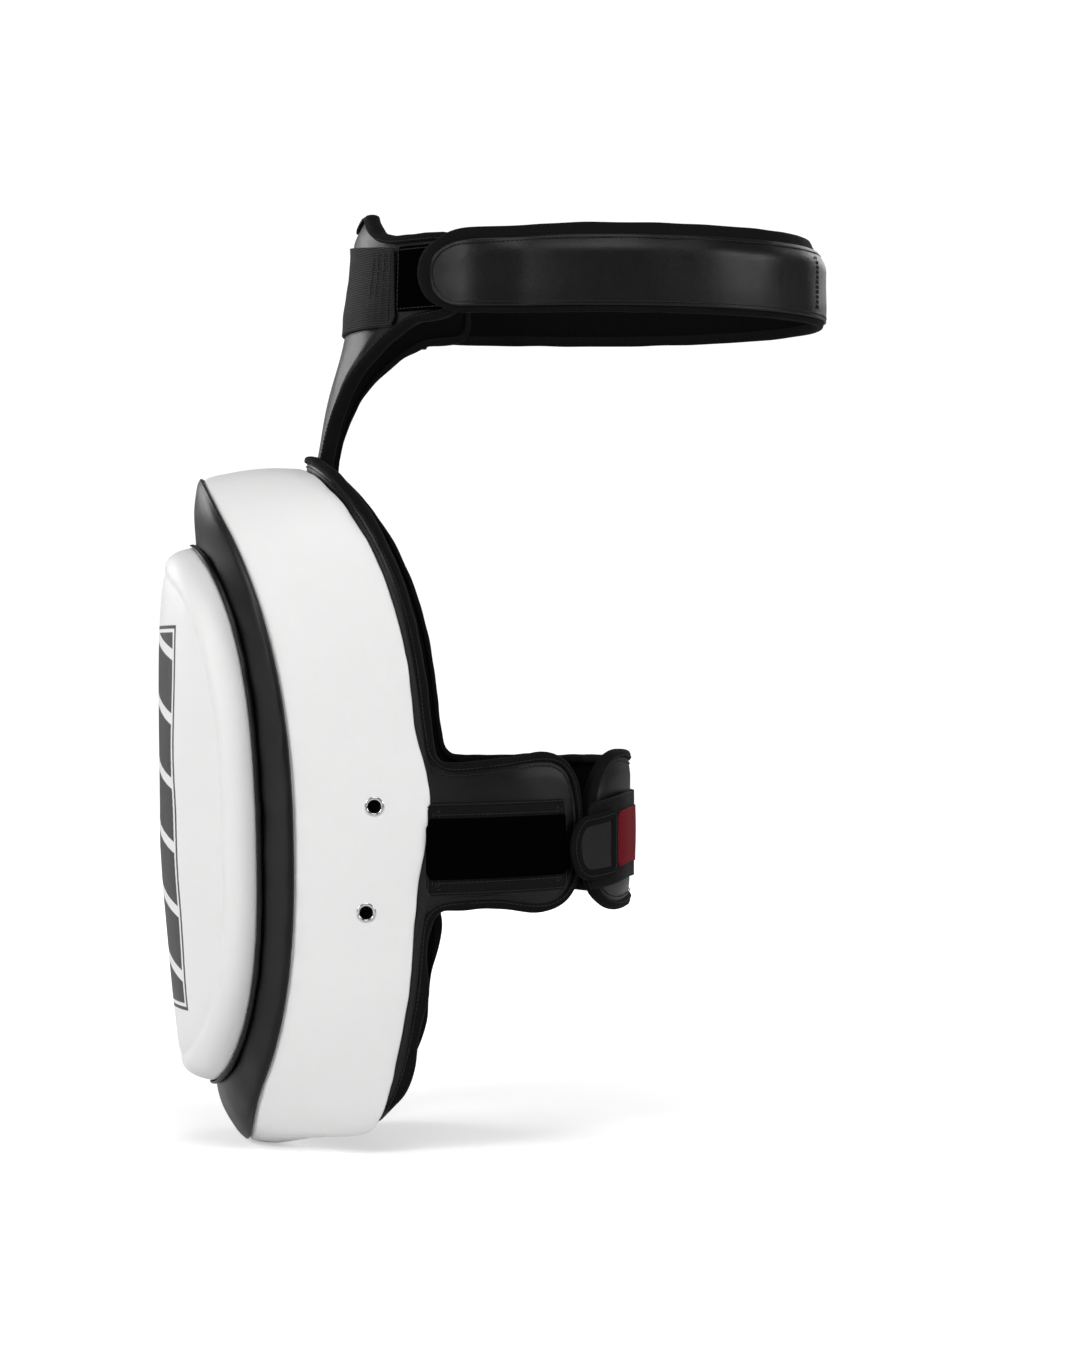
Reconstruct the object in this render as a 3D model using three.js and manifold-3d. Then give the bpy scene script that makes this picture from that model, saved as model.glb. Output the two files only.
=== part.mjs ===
// A muay thai thigh guard for one leg: a thick curved kick pad that wraps the outside of the left thigh,
// hung from a waist belt by a padded hip panel and closed round the thigh by two wings and a strap.
// Millimetres, +Z up. The wearer faces +Y, so -X is the wearer's left, where the pad sits.
// The origin is the centre of the waist at the middle of the belt.
import * as THREE from "three";
import { mergeVertices } from "three/addons/utils/BufferGeometryUtils.js";
import Module from "manifold-3d";

// Clearance between neighbouring pieces, and how far an edge binding stands proud of its panel.
const CLEARANCE = 0.3;
const BINDING_PROUD = 0.5;

// The body: waist inside the belt, and thigh inside the wrap. The thigh's centre lies to the left.
const WAIST_WIDTH = 300;
const WAIST_DEPTH = 218;
const WAIST_CENTRE_X = 3;
const THIGH_WIDTH = 202;
const THIGH_DEPTH = 194;
const THIGH_CENTRE_X = -79;

// Thigh wrap: the bound panel behind the pad, with a wing at the back and one at the front.
const WRAP_THICKNESS = 7;
const WRAP_BINDING_WIDTH = 8.5;
const WRAP_FILLET = 20;
const WRAP_OVER_PAD = 1.008;
const WING_CENTRE_Z = -361;
const WING_HEIGHT = 84;
const REAR_WING_END_DEG = 130.5;
const WING_TIP_GAP_DEG = 10.5;

// Base pad: the thick white block. Its inner outline lies on the wrap, its outer one on the face.
const PAD_INNER_TOP_Z = -120;
const PAD_INNER_HEIGHT = 427;
const PAD_INNER_HALF_ANGLE_DEG = 77;
const PAD_OUTER_TOP_Z = -126;
const PAD_OUTER_HEIGHT = 437;
const PAD_OUTER_HALF_ANGLE_DEG = 59;
const FACE_RADIUS = 130;
const FACE_OUT_FROM_WAIST = 251.5;
const FACE_LEAN_DEG = 2.6;
const FACE_BOTTOM_ROLL = 16;
const FACE_TOP_ROLL = 4;
const WALL_BULGE = 2.5;
const FACE_PANEL_THICKNESS = 3;

// Striking pad: the raised oval on the face, with a welt round its foot.
const STRIKING_TOP_Z = -171.5;
const STRIKING_HEIGHT = 353;
const STRIKING_HALF_ANGLE_DEG = 47;
const STRIKING_CENTRE_RISE = 32;
const STRIKING_EDGE_RISE = 21;
const WELT_DIAMETER = 4;

// Eyelets: two vents in the rear wall of the base pad.
const EYELET_Z = [-340, -407.5];
const EYELET_ACROSS_WALL = 0.43;
const EYELET_RADIUS = 7;
const EYELET_HOLE_RADIUS = 4.2;
const EYELET_DEPTH = 5;
const EYELET_PROUD = 1;

// Hip panel: joins the belt to the pad. Its tail runs down inside the wrap.
const HIP_THICKNESS = 8;
const HIP_BINDING_WIDTH = 8.5;
const HIP_TOP_Z = 37;
const HIP_TAIL_Z = -188;
const HIP_END_DEG = 54;

// Waist belt, 61 tall over its binding, with a rounded end that closes on the hook and loop patch.
const BELT_CORE_HEIGHT = 44;
const BELT_CORE_THICKNESS = 3.5;
const BELT_FACING_THICKNESS = 2;
const BELT_BINDING_WIDTH = 8.5;
const BELT_MIDDLE_Z = 0.5;
const BELT_TIP_DEG = 50;
const BELT_END_LENGTH = 22;
const BELT_TOP_LEAN = 8;
const BELT_RAMP_DEG = 16;
const BELT_SEWN_END_DEG = 312;

// Elastic band and hook and loop patch on the hip panel.
const BAND_THICKNESS = 2;
const BAND_TOP_Z = 24;
const BAND_HEIGHT = 59;
const BAND_REAR_DEG = 37.5;
const PATCH_THICKNESS = 1.5;
const PATCH_HEIGHT = 42;

// Straps round the thigh: loop tape on the rear wing, closing strap on the front wing.
const STRAP_CENTRE_Z = -364;
const LOOP_STRAP_HEIGHT = 56;
const LOOP_STRAP_THICKNESS = 2;
const LOOP_STRAP_END_DEG = 127;
const LOOP_STRAP_TIP_SHARE = 0.85;
const CLOSING_STRAP_HEIGHT = 56;
const CLOSING_STRAP_THICKNESS = 2.5;
const TAB_HEIGHT = 43;
const TAB_THICKNESS = 2.5;
const TAB_TIP_DEG = 127;
const TAB_LENGTH_DEG = 22;
const TAB_END_LENGTH = 14;
const LABEL_HEIGHT = 36;
const LABEL_LENGTH_DEG = 38;
const LABEL_THICKNESS = 0.8;

// Shapes of the outlines. A power of 2 is an ellipse, and a higher one is squarer.
// The taper is the share of the half width that is lost by the bottom.
const INNER_OUTLINE = { topPower: 2.4, bottomPower: 12, bottomTaper: 0.22 };
const OUTER_OUTLINE = { topPower: 2.3, bottomPower: 2.9, bottomTaper: 0 };
const STRIKING_OUTLINE = { topPower: 2.8, bottomPower: 3.1, bottomTaper: 0 };

// Rear wing, from the pad's edge to its tip: shares of its length and of half its height.
const REAR_WING = [
  { along: 0.28, top: 0.96, bottom: -0.8 },
  { along: 0.5, top: 0.98, bottom: -0.82 },
  { along: 0.7, top: 1.08, bottom: -0.93 },
  { along: 0.82, top: 1.1, bottom: -0.93 },
  { along: 0.9, top: 1.02, bottom: -0.84 },
  { along: 0.96, top: 0.82, bottom: -0.66 },
  { along: 1.0, top: 0.4, bottom: -0.35 },
];
// Front wing: the same columns. Its tip is a long leaf shape.
const FRONT_WING = [
  { along: 0.12, top: 0.96, bottom: -0.82 },
  { along: 0.3, top: 0.98, bottom: -0.82 },
  { along: 0.6, top: 1.0, bottom: -0.85 },
  { along: 0.8, top: 1.12, bottom: -0.93 },
  { along: 0.88, top: 1.16, bottom: -0.98 },
  { along: 0.94, top: 1.06, bottom: -0.92 },
  { along: 0.98, top: 0.72, bottom: -0.78 },
  { along: 1.0, top: 0.3, bottom: -0.5 },
];
// Hip panel: shares of its half angle, of its height above the waist line and of its depth below it.
const HIP_EDGE = [
  { around: 0.0, top: 1.0, bottom: 1.0 },
  { around: 0.24, top: 0.98, bottom: 1.0 },
  { around: 0.27, top: 0.94, bottom: 0.68 },
  { around: 0.31, top: 0.88, bottom: 0.5 },
  { around: 0.4, top: 0.74, bottom: 0.36 },
  { around: 0.5, top: 0.52, bottom: 0.27 },
  { around: 0.62, top: 0.42, bottom: 0.185 },
  { around: 0.75, top: 0.41, bottom: 0.135 },
  { around: 0.9, top: 0.41, bottom: 0.118 },
  { around: 1.0, top: 0.4, bottom: 0.112 },
];
// Striking pad from its middle to its foot: share of the outline, and share of the edge rise lost.
const STRIKING_PROFILE = [
  { out: 0.3, rise: 0.97 },
  { out: 0.6, rise: 0.87 },
  { out: 0.82, rise: 0.75 },
  { out: 0.9, rise: 0.68 },
  { out: 0.95, rise: 0.59 },
  { out: 0.985, rise: 0.37 },
];

const OUTLINE_STEPS = 48;
const FACE_RINGS = [0.25, 0.5, 0.75, 0.92];

const radians = (degrees) => THREE.MathUtils.degToRad(degrees);
const mix = (a, b, share) => a + (b - a) * share;
const share = (value, from, to) => THREE.MathUtils.clamp((value - from) / (to - from), 0, 1);
const smooth = (value, from, to) => THREE.MathUtils.smoothstep(value, from, to);

// A point on an upright ellipse. The angle starts at the wearer's left side and grows towards the back.
function ellipsePoint(centreX, halfWidth, halfDepth, angle, z) {
  return new THREE.Vector3(centreX - halfWidth * Math.cos(angle), -halfDepth * Math.sin(angle), z);
}

// The thigh surface, lifted outwards from the inner face of the wrap.
function thighPoint(angle, z, lift) {
  return ellipsePoint(THIGH_CENTRE_X, THIGH_WIDTH / 2 + lift, THIGH_DEPTH / 2 + lift, angle, z);
}

// The body from the waist down to the thigh, lifted outwards.
// The tail of the hip panel ends inside the wrap.
const HIP_BLEND_FROM_Z = -31;
const HIP_BLEND_TO_Z = -114;
const TAIL_LIFT = -(HIP_THICKNESS + BINDING_PROUD + CLEARANCE);
function hipPoint(angle, z, lift) {
  const down = share(-z, -HIP_BLEND_FROM_Z, -HIP_BLEND_TO_Z);
  const centreX = mix(WAIST_CENTRE_X, THIGH_CENTRE_X, down);
  const halfWidth = mix(WAIST_WIDTH / 2, THIGH_WIDTH / 2 + TAIL_LIFT, down);
  const halfDepth = mix(WAIST_DEPTH / 2, THIGH_DEPTH / 2 + TAIL_LIFT, down);
  return ellipsePoint(centreX, halfWidth + lift, halfDepth + lift, angle, z);
}

// The belt's surface. It climbs onto the hip panel at both ends, and its top edge leans in elsewhere.
const HIP_BOUND_END = radians(HIP_END_DEG) + HIP_BINDING_WIDTH / (WAIST_DEPTH / 2);
const PATCH_LIFT = HIP_THICKNESS + BINDING_PROUD + CLEARANCE;
const BELT_RAISED_LIFT = PATCH_LIFT + PATCH_THICKNESS + CLEARANCE + BINDING_PROUD;
function beltPoint(angle, z, lift) {
  const fromEnd = Math.min(angle, 2 * Math.PI - angle) - HIP_BOUND_END;
  const lowered = smooth(fromEnd, radians(1), radians(BELT_RAMP_DEG));
  const upper = smooth(z - BELT_MIDDLE_Z, BELT_CORE_HEIGHT / 4, BELT_CORE_HEIGHT / 2 + BELT_BINDING_WIDTH);
  const out = mix(BELT_RAISED_LIFT, BINDING_PROUD + CLEARANCE, lowered) - BELT_TOP_LEAN * upper * lowered;
  return ellipsePoint(WAIST_CENTRE_X, WAIST_WIDTH / 2 + out + lift, WAIST_DEPTH / 2 + out + lift, angle, z);
}

// How far the face of the pad stands to the left at a height.
// It leans in downwards and rolls over at its ends.
const PAD_MIDDLE_Z = PAD_OUTER_TOP_Z - PAD_OUTER_HEIGHT / 2;
function faceLine(z) {
  const height = (z - PAD_MIDDLE_Z) / (PAD_OUTER_HEIGHT / 2);
  const lean = Math.tan(radians(FACE_LEAN_DEG)) * (z - PAD_MIDDLE_Z);
  const bottomRoll = FACE_BOTTOM_ROLL * share(-height, 0.78, 1) ** 2;
  const topRoll = FACE_TOP_ROLL * share(height, 0.85, 1) ** 2;
  return FACE_OUT_FROM_WAIST + lean - bottomRoll - topRoll;
}

// The outer face of the pad, lifted outwards.
function facePoint(angle, z, lift) {
  const centreX = -faceLine(z) + FACE_RADIUS;
  const radius = FACE_RADIUS + lift;
  return new THREE.Vector3(centreX - radius * Math.cos(angle), -radius * Math.sin(angle), z);
}

// Shares of the half width and half height of a superellipse, at a turn that starts at the rear.
function outlineShare(turn, shape) {
  const above = Math.sin(turn) >= 0;
  const power = above ? shape.topPower : shape.bottomPower;
  const curve = (value) => Math.sign(value) * Math.abs(value) ** (2 / power);
  const up = curve(Math.sin(turn));
  const taper = above ? 0 : shape.bottomTaper * up ** 2;
  return { across: curve(Math.cos(turn)) * (1 - taper), up };
}

// Turns at even lengths along a quarter of an outline, from its side to its top or bottom.
const QUARTER_SAMPLES = 240;
function evenQuarter(outline, sign) {
  const lengths = [0];
  const turns = [0];
  for (let i = 1; i <= QUARTER_SAMPLES; i += 1) {
    turns.push((sign * Math.PI * i) / (2 * QUARTER_SAMPLES));
    const [a, b] = [outlineShare(turns[i - 1], outline.shape), outlineShare(turns[i], outline.shape)];
    const across = (b.across - a.across) * radians(outline.halfAngle) * FACE_RADIUS;
    lengths.push(lengths[i - 1] + Math.hypot(across, ((b.up - a.up) * outline.height) / 2));
  }
  return { lengths, turns };
}

// The turn at a place round an outline.
// Place 0 is the rear side, 0.25 the top, 0.5 the front side and 0.75 the bottom.
function turnAt(place, outline) {
  const round = ((place % 1) + 1) % 1;
  const sign = round <= 0.5 ? 1 : -1;
  const fromSide = 1 - Math.abs(1 - ((round * 4) % 2));
  const quarter = sign > 0 ? outline.upperQuarter : outline.lowerQuarter;
  const length = fromSide * quarter.lengths[QUARTER_SAMPLES];
  const next = Math.max(1, quarter.lengths.findIndex((value) => value >= length));
  const part = share(length, quarter.lengths[next - 1], quarter.lengths[next]);
  const turn = mix(quarter.turns[next - 1], quarter.turns[next], part);
  return round > 0.25 && round < 0.75 ? Math.PI - turn : turn;
}

// An angle and a height at a place round an outline, scaled about its middle.
function outlineAt(place, scale, outline) {
  const at = outlineShare(turnAt(place, outline), outline.shape);
  return {
    angle: radians(outline.halfAngle) * at.across * scale,
    z: outline.top - outline.height / 2 + (outline.height / 2) * at.up * scale,
  };
}

function withQuarters(outline) {
  return { ...outline, upperQuarter: evenQuarter(outline, 1), lowerQuarter: evenQuarter(outline, -1) };
}

const innerOutline = withQuarters({
  shape: INNER_OUTLINE,
  halfAngle: PAD_INNER_HALF_ANGLE_DEG,
  top: PAD_INNER_TOP_Z,
  height: PAD_INNER_HEIGHT,
});
const outerOutline = withQuarters({
  shape: OUTER_OUTLINE,
  halfAngle: PAD_OUTER_HALF_ANGLE_DEG,
  top: PAD_OUTER_TOP_Z,
  height: PAD_OUTER_HEIGHT,
});
const strikingOutline = withQuarters({
  shape: STRIKING_OUTLINE,
  halfAngle: STRIKING_HALF_ANGLE_DEG,
  top: STRIKING_TOP_Z,
  height: STRIKING_HEIGHT,
});

// Points of one ring of a pad, on a surface.
function padRing(surface, outline, scale, lift) {
  return Array.from({ length: OUTLINE_STEPS }, (_, i) => {
    const at = outlineAt(i / OUTLINE_STEPS, scale, outline);
    return surface(at.angle, at.z, lift);
  });
}

function padPole(surface, outline, lift) {
  return surface(0, outline.top - outline.height / 2, lift);
}

// A geometry from a list of points and triangles, each triangle three indices.
function geometryFrom(points, triangles) {
  const geometry = new THREE.BufferGeometry();
  const coordinates = points.flatMap((p) => [p.x, p.y, p.z]);
  geometry.setAttribute("position", new THREE.Float32BufferAttribute(coordinates, 3));
  geometry.setIndex(triangles.flat());
  return geometry;
}

// Triangles between two rings of points that close on themselves.
// The diagonals are flipped from a given point on.
function band(first, second, count, flippedFrom = count) {
  return Array.from({ length: count }, (_, i) => {
    const next = (i + 1) % count;
    const [a, b, c, d] = [first + i, first + next, second + next, second + i];
    return i >= flippedFrom ? [[a, b, d], [b, c, d]] : [[a, b, c], [a, c, d]];
  }).flat();
}

// A closed solid from rings between two poles: the outer rings widen and the inner ones narrow again.
// Both sides share the same pattern of triangles, so that two solids can lie close together.
function discSolid(firstPole, outerRings, innerRings, lastPole) {
  const rings = [...outerRings, ...innerRings];
  const count = rings[0].length;
  const points = [firstPole, ...rings.flat(), lastPole];
  const last = points.length - 1;
  const triangles = [];
  for (let i = 0; i < count; i += 1) {
    const next = (i + 1) % count;
    triangles.push([0, 1 + next, 1 + i]);
    triangles.push([last, last - count + i, last - count + next]);
  }
  for (let r = 0; r < rings.length - 1; r += 1) {
    const flippedFrom = r >= outerRings.length ? 0 : count;
    triangles.push(...band(1 + r * count, 1 + (r + 1) * count, count, flippedFrom));
  }
  return facingOut(geometryFrom(points, triangles));
}

// Turns a closed geometry round if its faces point inwards.
function facingOut(geometry) {
  const at = geometry.getAttribute("position");
  const index = geometry.getIndex();
  const corner = (i) => new THREE.Vector3().fromBufferAttribute(at, index.getX(i));
  let volume = 0;
  for (let i = 0; i < index.count; i += 3) {
    volume += corner(i).dot(corner(i + 1).cross(corner(i + 2)));
  }
  if (volume < 0) {
    for (let i = 0; i < index.count; i += 3) {
      const second = index.getX(i + 1);
      index.setX(i + 1, index.getX(i + 2));
      index.setX(i + 2, second);
    }
  }
  return geometry;
}

// A closed solid through sections of equal length, as a ring or with a flat end at each side.
function sectionSolid(sections, closed) {
  const count = sections[0].length;
  const triangles = [];
  const steps = closed ? sections.length : sections.length - 1;
  for (let s = 0; s < steps; s += 1) {
    triangles.push(...band(s * count, ((s + 1) % sections.length) * count, count, count / 2));
  }
  if (!closed) {
    const end = (sections.length - 1) * count;
    for (let i = 0; i < count / 2 - 1; i += 1) {
      const across = count - 1 - i;
      triangles.push([i, across, across - 1], [i, across - 1, i + 1]);
      triangles.push([end + i, end + across - 1, end + across], [end + i, end + i + 1, end + across - 1]);
    }
  }
  return facingOut(geometryFrom(sections.flat(), triangles));
}

// The height of a chain of points at an angle, by straight lines between them.
function heightAt(chain, angle) {
  const next = chain.findIndex((p) => p.angle > angle);
  if (next < 0) return chain[chain.length - 1].z;
  if (next === 0) return chain[0].z;
  const [a, b] = [chain[next - 1], chain[next]];
  return mix(a.z, b.z, (angle - a.angle) / (b.angle - a.angle));
}

// Adds a point wherever a chain crosses a step of a grid that all bent sheets share.
const GRID_STEP = radians(6);
const straightEdge = (from, to, startZ, endZ) =>
  onGrid([{ angle: from, z: startZ }, { angle: to, z: endZ }]);
function onGrid(chain) {
  return chain.flatMap((point, i) => {
    if (i === 0) return [point];
    const before = chain[i - 1];
    const crossed = [];
    for (let k = Math.ceil(before.angle / GRID_STEP); k * GRID_STEP < point.angle; k += 1) {
      const angle = k * GRID_STEP;
      const apart = Math.min(angle - before.angle, point.angle - angle);
      if (apart > GRID_STEP / 8) crossed.push({ angle, z: heightAt([before, point], angle) });
    }
    return [...crossed, point];
  });
}

// A bent sheet between an upper and a lower chain, both sorted by angle.
const LEAST_STEP = radians(0.15);
function bentSheet(surface, upper, lower, innerLift, outerLift, rows) {
  const angles = [...upper, ...lower].map((p) => p.angle).sort((a, b) => a - b);
  const columns = angles.filter((a, i) => i === 0 || a - angles[i - 1] > LEAST_STEP);
  const sections = columns.map((angle) => {
    const [low, high] = [heightAt(lower, angle), heightAt(upper, angle)];
    const levels = Array.from({ length: rows + 1 }, (_, i) => mix(low, high, i / rows));
    const inner = levels.map((z) => surface(angle, z, innerLift));
    const outer = levels.map((z) => surface(angle, z, outerLift));
    return [...inner, ...outer.reverse()];
  });
  return sectionSolid(sections, false);
}

// An edge binding: a rounded bar that follows an outline and lies outside it.
// The length of a radian on the surface turns angles into millimetres.
const BINDING_INSET = 0.8;
const BINDING_SECTION = [
  { out: 0, rise: 0.5 },
  { out: 0.75, rise: 0.5 },
  { out: 1, rise: 0 },
  { out: 0.75, rise: -0.5 },
  { out: 0, rise: -0.5 },
];
function edgeBinding(surface, outline, perRadian, width, innerLift, outerLift) {
  const middle = (innerLift + outerLift) / 2;
  const thickness = outerLift - innerLift;
  const sections = outline.map((point, i) => {
    const before = outline[(i + outline.length - 1) % outline.length];
    const after = outline[(i + 1) % outline.length];
    const scale = perRadian(point.angle);
    const along = new THREE.Vector2((after.angle - before.angle) * scale, after.z - before.z).normalize();
    return BINDING_SECTION.map(({ out, rise }) => {
      const reach = mix(BINDING_INSET, width, out);
      const angle = point.angle + (along.y * reach) / scale;
      return surface(angle, point.z - along.x * reach, middle + rise * thickness);
    });
  });
  return sectionSolid(sections, true);
}

// Drops the points of an outline that lie closer together than a step.
function thinned(outline, perRadian, step) {
  const kept = [outline[0]];
  for (const point of outline.slice(1)) {
    const last = kept[kept.length - 1];
    const run = Math.hypot((point.angle - last.angle) * perRadian(point.angle), point.z - last.z);
    if (run > step) kept.push(point);
  }
  return kept;
}

// Goes along the lower chain and back along the upper one.
const closedOutline = (upper, lower) => [...lower, ...[...upper].reverse()];

const thighPerRadian = () => (THIGH_WIDTH + THIGH_DEPTH) / 4 + WRAP_THICKNESS / 2;
const waistPerRadian = (angle) =>
  Math.hypot((WAIST_WIDTH / 2) * Math.sin(angle), (WAIST_DEPTH / 2) * Math.cos(angle)) + HIP_THICKNESS;

const wasm = await Module();
wasm.setup();

// Turns a closed geometry into a solid for cutting, and back.
function toSolid(geometry) {
  const bare = geometry.index ? geometry.toNonIndexed() : geometry.clone();
  bare.deleteAttribute("normal");
  bare.deleteAttribute("uv");
  const merged = mergeVertices(bare, 1e-3);
  return new wasm.Manifold(
    new wasm.Mesh({
      numProp: 3,
      vertProperties: merged.getAttribute("position").array,
      triVerts: new Uint32Array(merged.index.array),
    }),
  );
}

function toGeometry(solid) {
  const mesh = solid.getMesh();
  const geometry = new THREE.BufferGeometry();
  geometry.setAttribute("position", new THREE.BufferAttribute(mesh.vertProperties, 3));
  geometry.setIndex(new THREE.BufferAttribute(mesh.triVerts, 1));
  return geometry;
}

// The wall of the base pad between its inner and outer outlines, with a slight bulge.
const BASE_LIFT = WRAP_THICKNESS + CLEARANCE;
const BASE_FACE_LIFT = -(FACE_PANEL_THICKNESS + CLEARANCE);
function wallPoint(place, across) {
  const inner = outlineAt(place, 1, innerOutline);
  const outer = outlineAt(place, 1, outerOutline);
  const from = thighPoint(inner.angle, inner.z, BASE_LIFT);
  const to = facePoint(outer.angle, outer.z, BASE_FACE_LIFT);
  const middle = facePoint(0, PAD_MIDDLE_Z, 0).lerp(thighPoint(0, PAD_MIDDLE_Z, 0), 0.5);
  const point = from.lerp(to, across);
  const outwards = point.clone().sub(middle).normalize();
  return point.addScaledVector(outwards, WALL_BULGE * 4 * across * (1 - across));
}

const WALL_SEARCH_STEPS = 40;
// The frame of an eyelet: its place on the rear wall and the direction that it faces.
function eyeletPlace(z) {
  let [low, high] = [-0.25, 0.25];
  for (let i = 0; i < WALL_SEARCH_STEPS; i += 1) {
    const middle = (low + high) / 2;
    if (wallPoint(middle, EYELET_ACROSS_WALL).z < z) low = middle;
    else high = middle;
  }
  const step = 0.02;
  const across = wallPoint(low, EYELET_ACROSS_WALL + step).sub(wallPoint(low, EYELET_ACROSS_WALL - step));
  const facing = across.cross(new THREE.Vector3(0, 0, 1)).normalize();
  if (facing.y > 0) facing.negate();
  return { centre: wallPoint(low, EYELET_ACROSS_WALL), facing };
}

// Puts a shape that was made along +Z from the origin onto the wall.
function onWall(object, place) {
  object.quaternion.setFromUnitVectors(new THREE.Vector3(0, 0, 1), place.facing);
  object.position.copy(place.centre);
  object.updateMatrix();
  return object;
}

// Cuts solids away from a geometry.
function cutBy(geometry, ...cutters) {
  return toGeometry(cutters.reduce((solid, cutter) => solid.subtract(toSolid(cutter)), toSolid(geometry)));
}

// A pocket in the wall for an eyelet.
const EYELET_STEPS = 14;
function eyeletPocket(z) {
  const radius = EYELET_RADIUS + CLEARANCE;
  const pocket = new THREE.CylinderGeometry(radius, radius, 2 * (EYELET_DEPTH + CLEARANCE), EYELET_STEPS);
  pocket.rotateX(Math.PI / 2);
  return pocket.applyMatrix4(onWall(new THREE.Object3D(), eyeletPlace(z)).matrix);
}

// All that lies within the outer face of the wrap, or within the pad's face, with the clearance added.
const CUTTER_DEPTH = 25;
function wrapCutter() {
  const edge = (z) => straightEdge(-Math.PI / 2, Math.PI / 2, z, z);
  const [above, below] = [PAD_INNER_TOP_Z, PAD_INNER_TOP_Z - PAD_INNER_HEIGHT];
  const [upper, lower] = [edge(above + CUTTER_DEPTH), edge(below - CUTTER_DEPTH)];
  return bentSheet(thighPoint, upper, lower, -CUTTER_DEPTH, WRAP_THICKNESS + CLEARANCE, 1);
}

function faceSheet(innerLift, outerLift) {
  const scales = [...FACE_RINGS, 1];
  return discSolid(
    padPole(facePoint, outerOutline, outerLift),
    scales.map((scale) => padRing(facePoint, outerOutline, scale, outerLift)),
    [...scales].reverse().map((scale) => padRing(facePoint, outerOutline, scale, innerLift)),
    padPole(facePoint, outerOutline, innerLift),
  );
}

const BASE_SUNK = 4;
function basePad() {
  const wall = [0.75, 0.5, 0.25].map((across) =>
    Array.from({ length: OUTLINE_STEPS }, (_, i) => wallPoint(i / OUTLINE_STEPS, across)),
  );
  const inner = [1, 0.9, 0.6, 0.3].map((scale) =>
    padRing(thighPoint, innerOutline, scale, BASE_LIFT - BASE_SUNK * (scale < 1)),
  );
  const block = discSolid(
    padPole(facePoint, outerOutline, BASE_FACE_LIFT),
    [...FACE_RINGS, 1].map((scale) => padRing(facePoint, outerOutline, scale, BASE_FACE_LIFT)),
    [...wall, ...inner],
    padPole(thighPoint, innerOutline, BASE_LIFT - BASE_SUNK),
  );
  return cutBy(block, wrapCutter(), ...EYELET_Z.map(eyeletPocket));
}

function facePanel() {
  return faceSheet(-FACE_PANEL_THICKNESS, 0);
}

function strikingPad() {
  const edge = STRIKING_EDGE_RISE / STRIKING_PROFILE[3].rise;
  const profile = STRIKING_PROFILE.map(({ out, rise }) =>
    padRing(facePoint, strikingOutline, out, mix(STRIKING_CENTRE_RISE, edge, out) * rise),
  );
  const foot = [1, 0.5].map((scale) => padRing(facePoint, strikingOutline, scale, -BASE_SUNK));
  const dome = discSolid(
    padPole(facePoint, strikingOutline, STRIKING_CENTRE_RISE),
    [...profile, padRing(facePoint, strikingOutline, 1, CLEARANCE)],
    foot,
    padPole(facePoint, strikingOutline, -BASE_SUNK),
  );
  return cutBy(dome, faceSheet(-CUTTER_DEPTH, CLEARANCE));
}

// The welt is a round cord sewn round the foot of the striking pad.
const WELT_STEPS = 44;
const WELT_SIDES = 5;
function strikingWelt() {
  const radius = WELT_DIAMETER / 2;
  const sections = Array.from({ length: WELT_STEPS }, (_, i) => {
    const place = i / WELT_STEPS;
    const at = outlineAt(place, 1, strikingOutline);
    const ahead = outlineAt(place + 1 / WELT_STEPS, 1, strikingOutline);
    const behind = outlineAt(place - 1 / WELT_STEPS, 1, strikingOutline);
    const run = (ahead.angle - behind.angle) * FACE_RADIUS;
    const along = new THREE.Vector2(run, ahead.z - behind.z).normalize();
    return Array.from({ length: WELT_SIDES }, (_, k) => {
      const round = (2 * Math.PI * k) / WELT_SIDES;
      const reach = radius + CLEARANCE + radius * Math.cos(round);
      const lift = radius + radius * Math.sin(round);
      return facePoint(at.angle + (along.y * reach) / FACE_RADIUS, at.z - along.x * reach, lift);
    });
  });
  return cutBy(sectionSolid(sections, true), faceSheet(-CUTTER_DEPTH, CLEARANCE));
}

const QUARTER_STEPS = 14;
// One half of the wrap's outline, above or below: the pad's edge, a fillet and a wing.
function wrapHalf(side, vertical, wing, wingLength) {
  const sign = vertical === "top" ? 1 : -1;
  const half = radians(PAD_INNER_HALF_ANGLE_DEG);
  const perRadian = thighPerRadian();
  const wingAngle = (along) => half + (wingLength * along) / perRadian;
  const wingZ = (row) => WING_CENTRE_Z + (WING_HEIGHT / 2) * row[vertical];
  const filletEnd = wingZ(wing[0]);
  const filletStart = filletEnd + sign * WRAP_FILLET;
  const pad = Array.from({ length: QUARTER_STEPS }, (_, i) =>
    outlineAt((sign * (1 - i / QUARTER_STEPS)) / 4, WRAP_OVER_PAD, innerOutline),
  );
  const edge = pad.filter((p) => sign * (p.z - filletStart) > BINDING_INSET);
  const last = edge[edge.length - 1];
  const corner = [0, 30, 60, 90].map((degrees) => ({
    angle: Math.max(half, last.angle) + (WRAP_FILLET * (1 - Math.cos(radians(degrees)))) / perRadian,
    z: filletStart - sign * WRAP_FILLET * Math.sin(radians(degrees)),
  }));
  const blade = wing.slice(1).map((row) => ({ angle: wingAngle(row.along), z: wingZ(row) }));
  return [...edge, ...corner, ...blade].map((p) => ({ angle: side * p.angle, z: p.z }));
}

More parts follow.
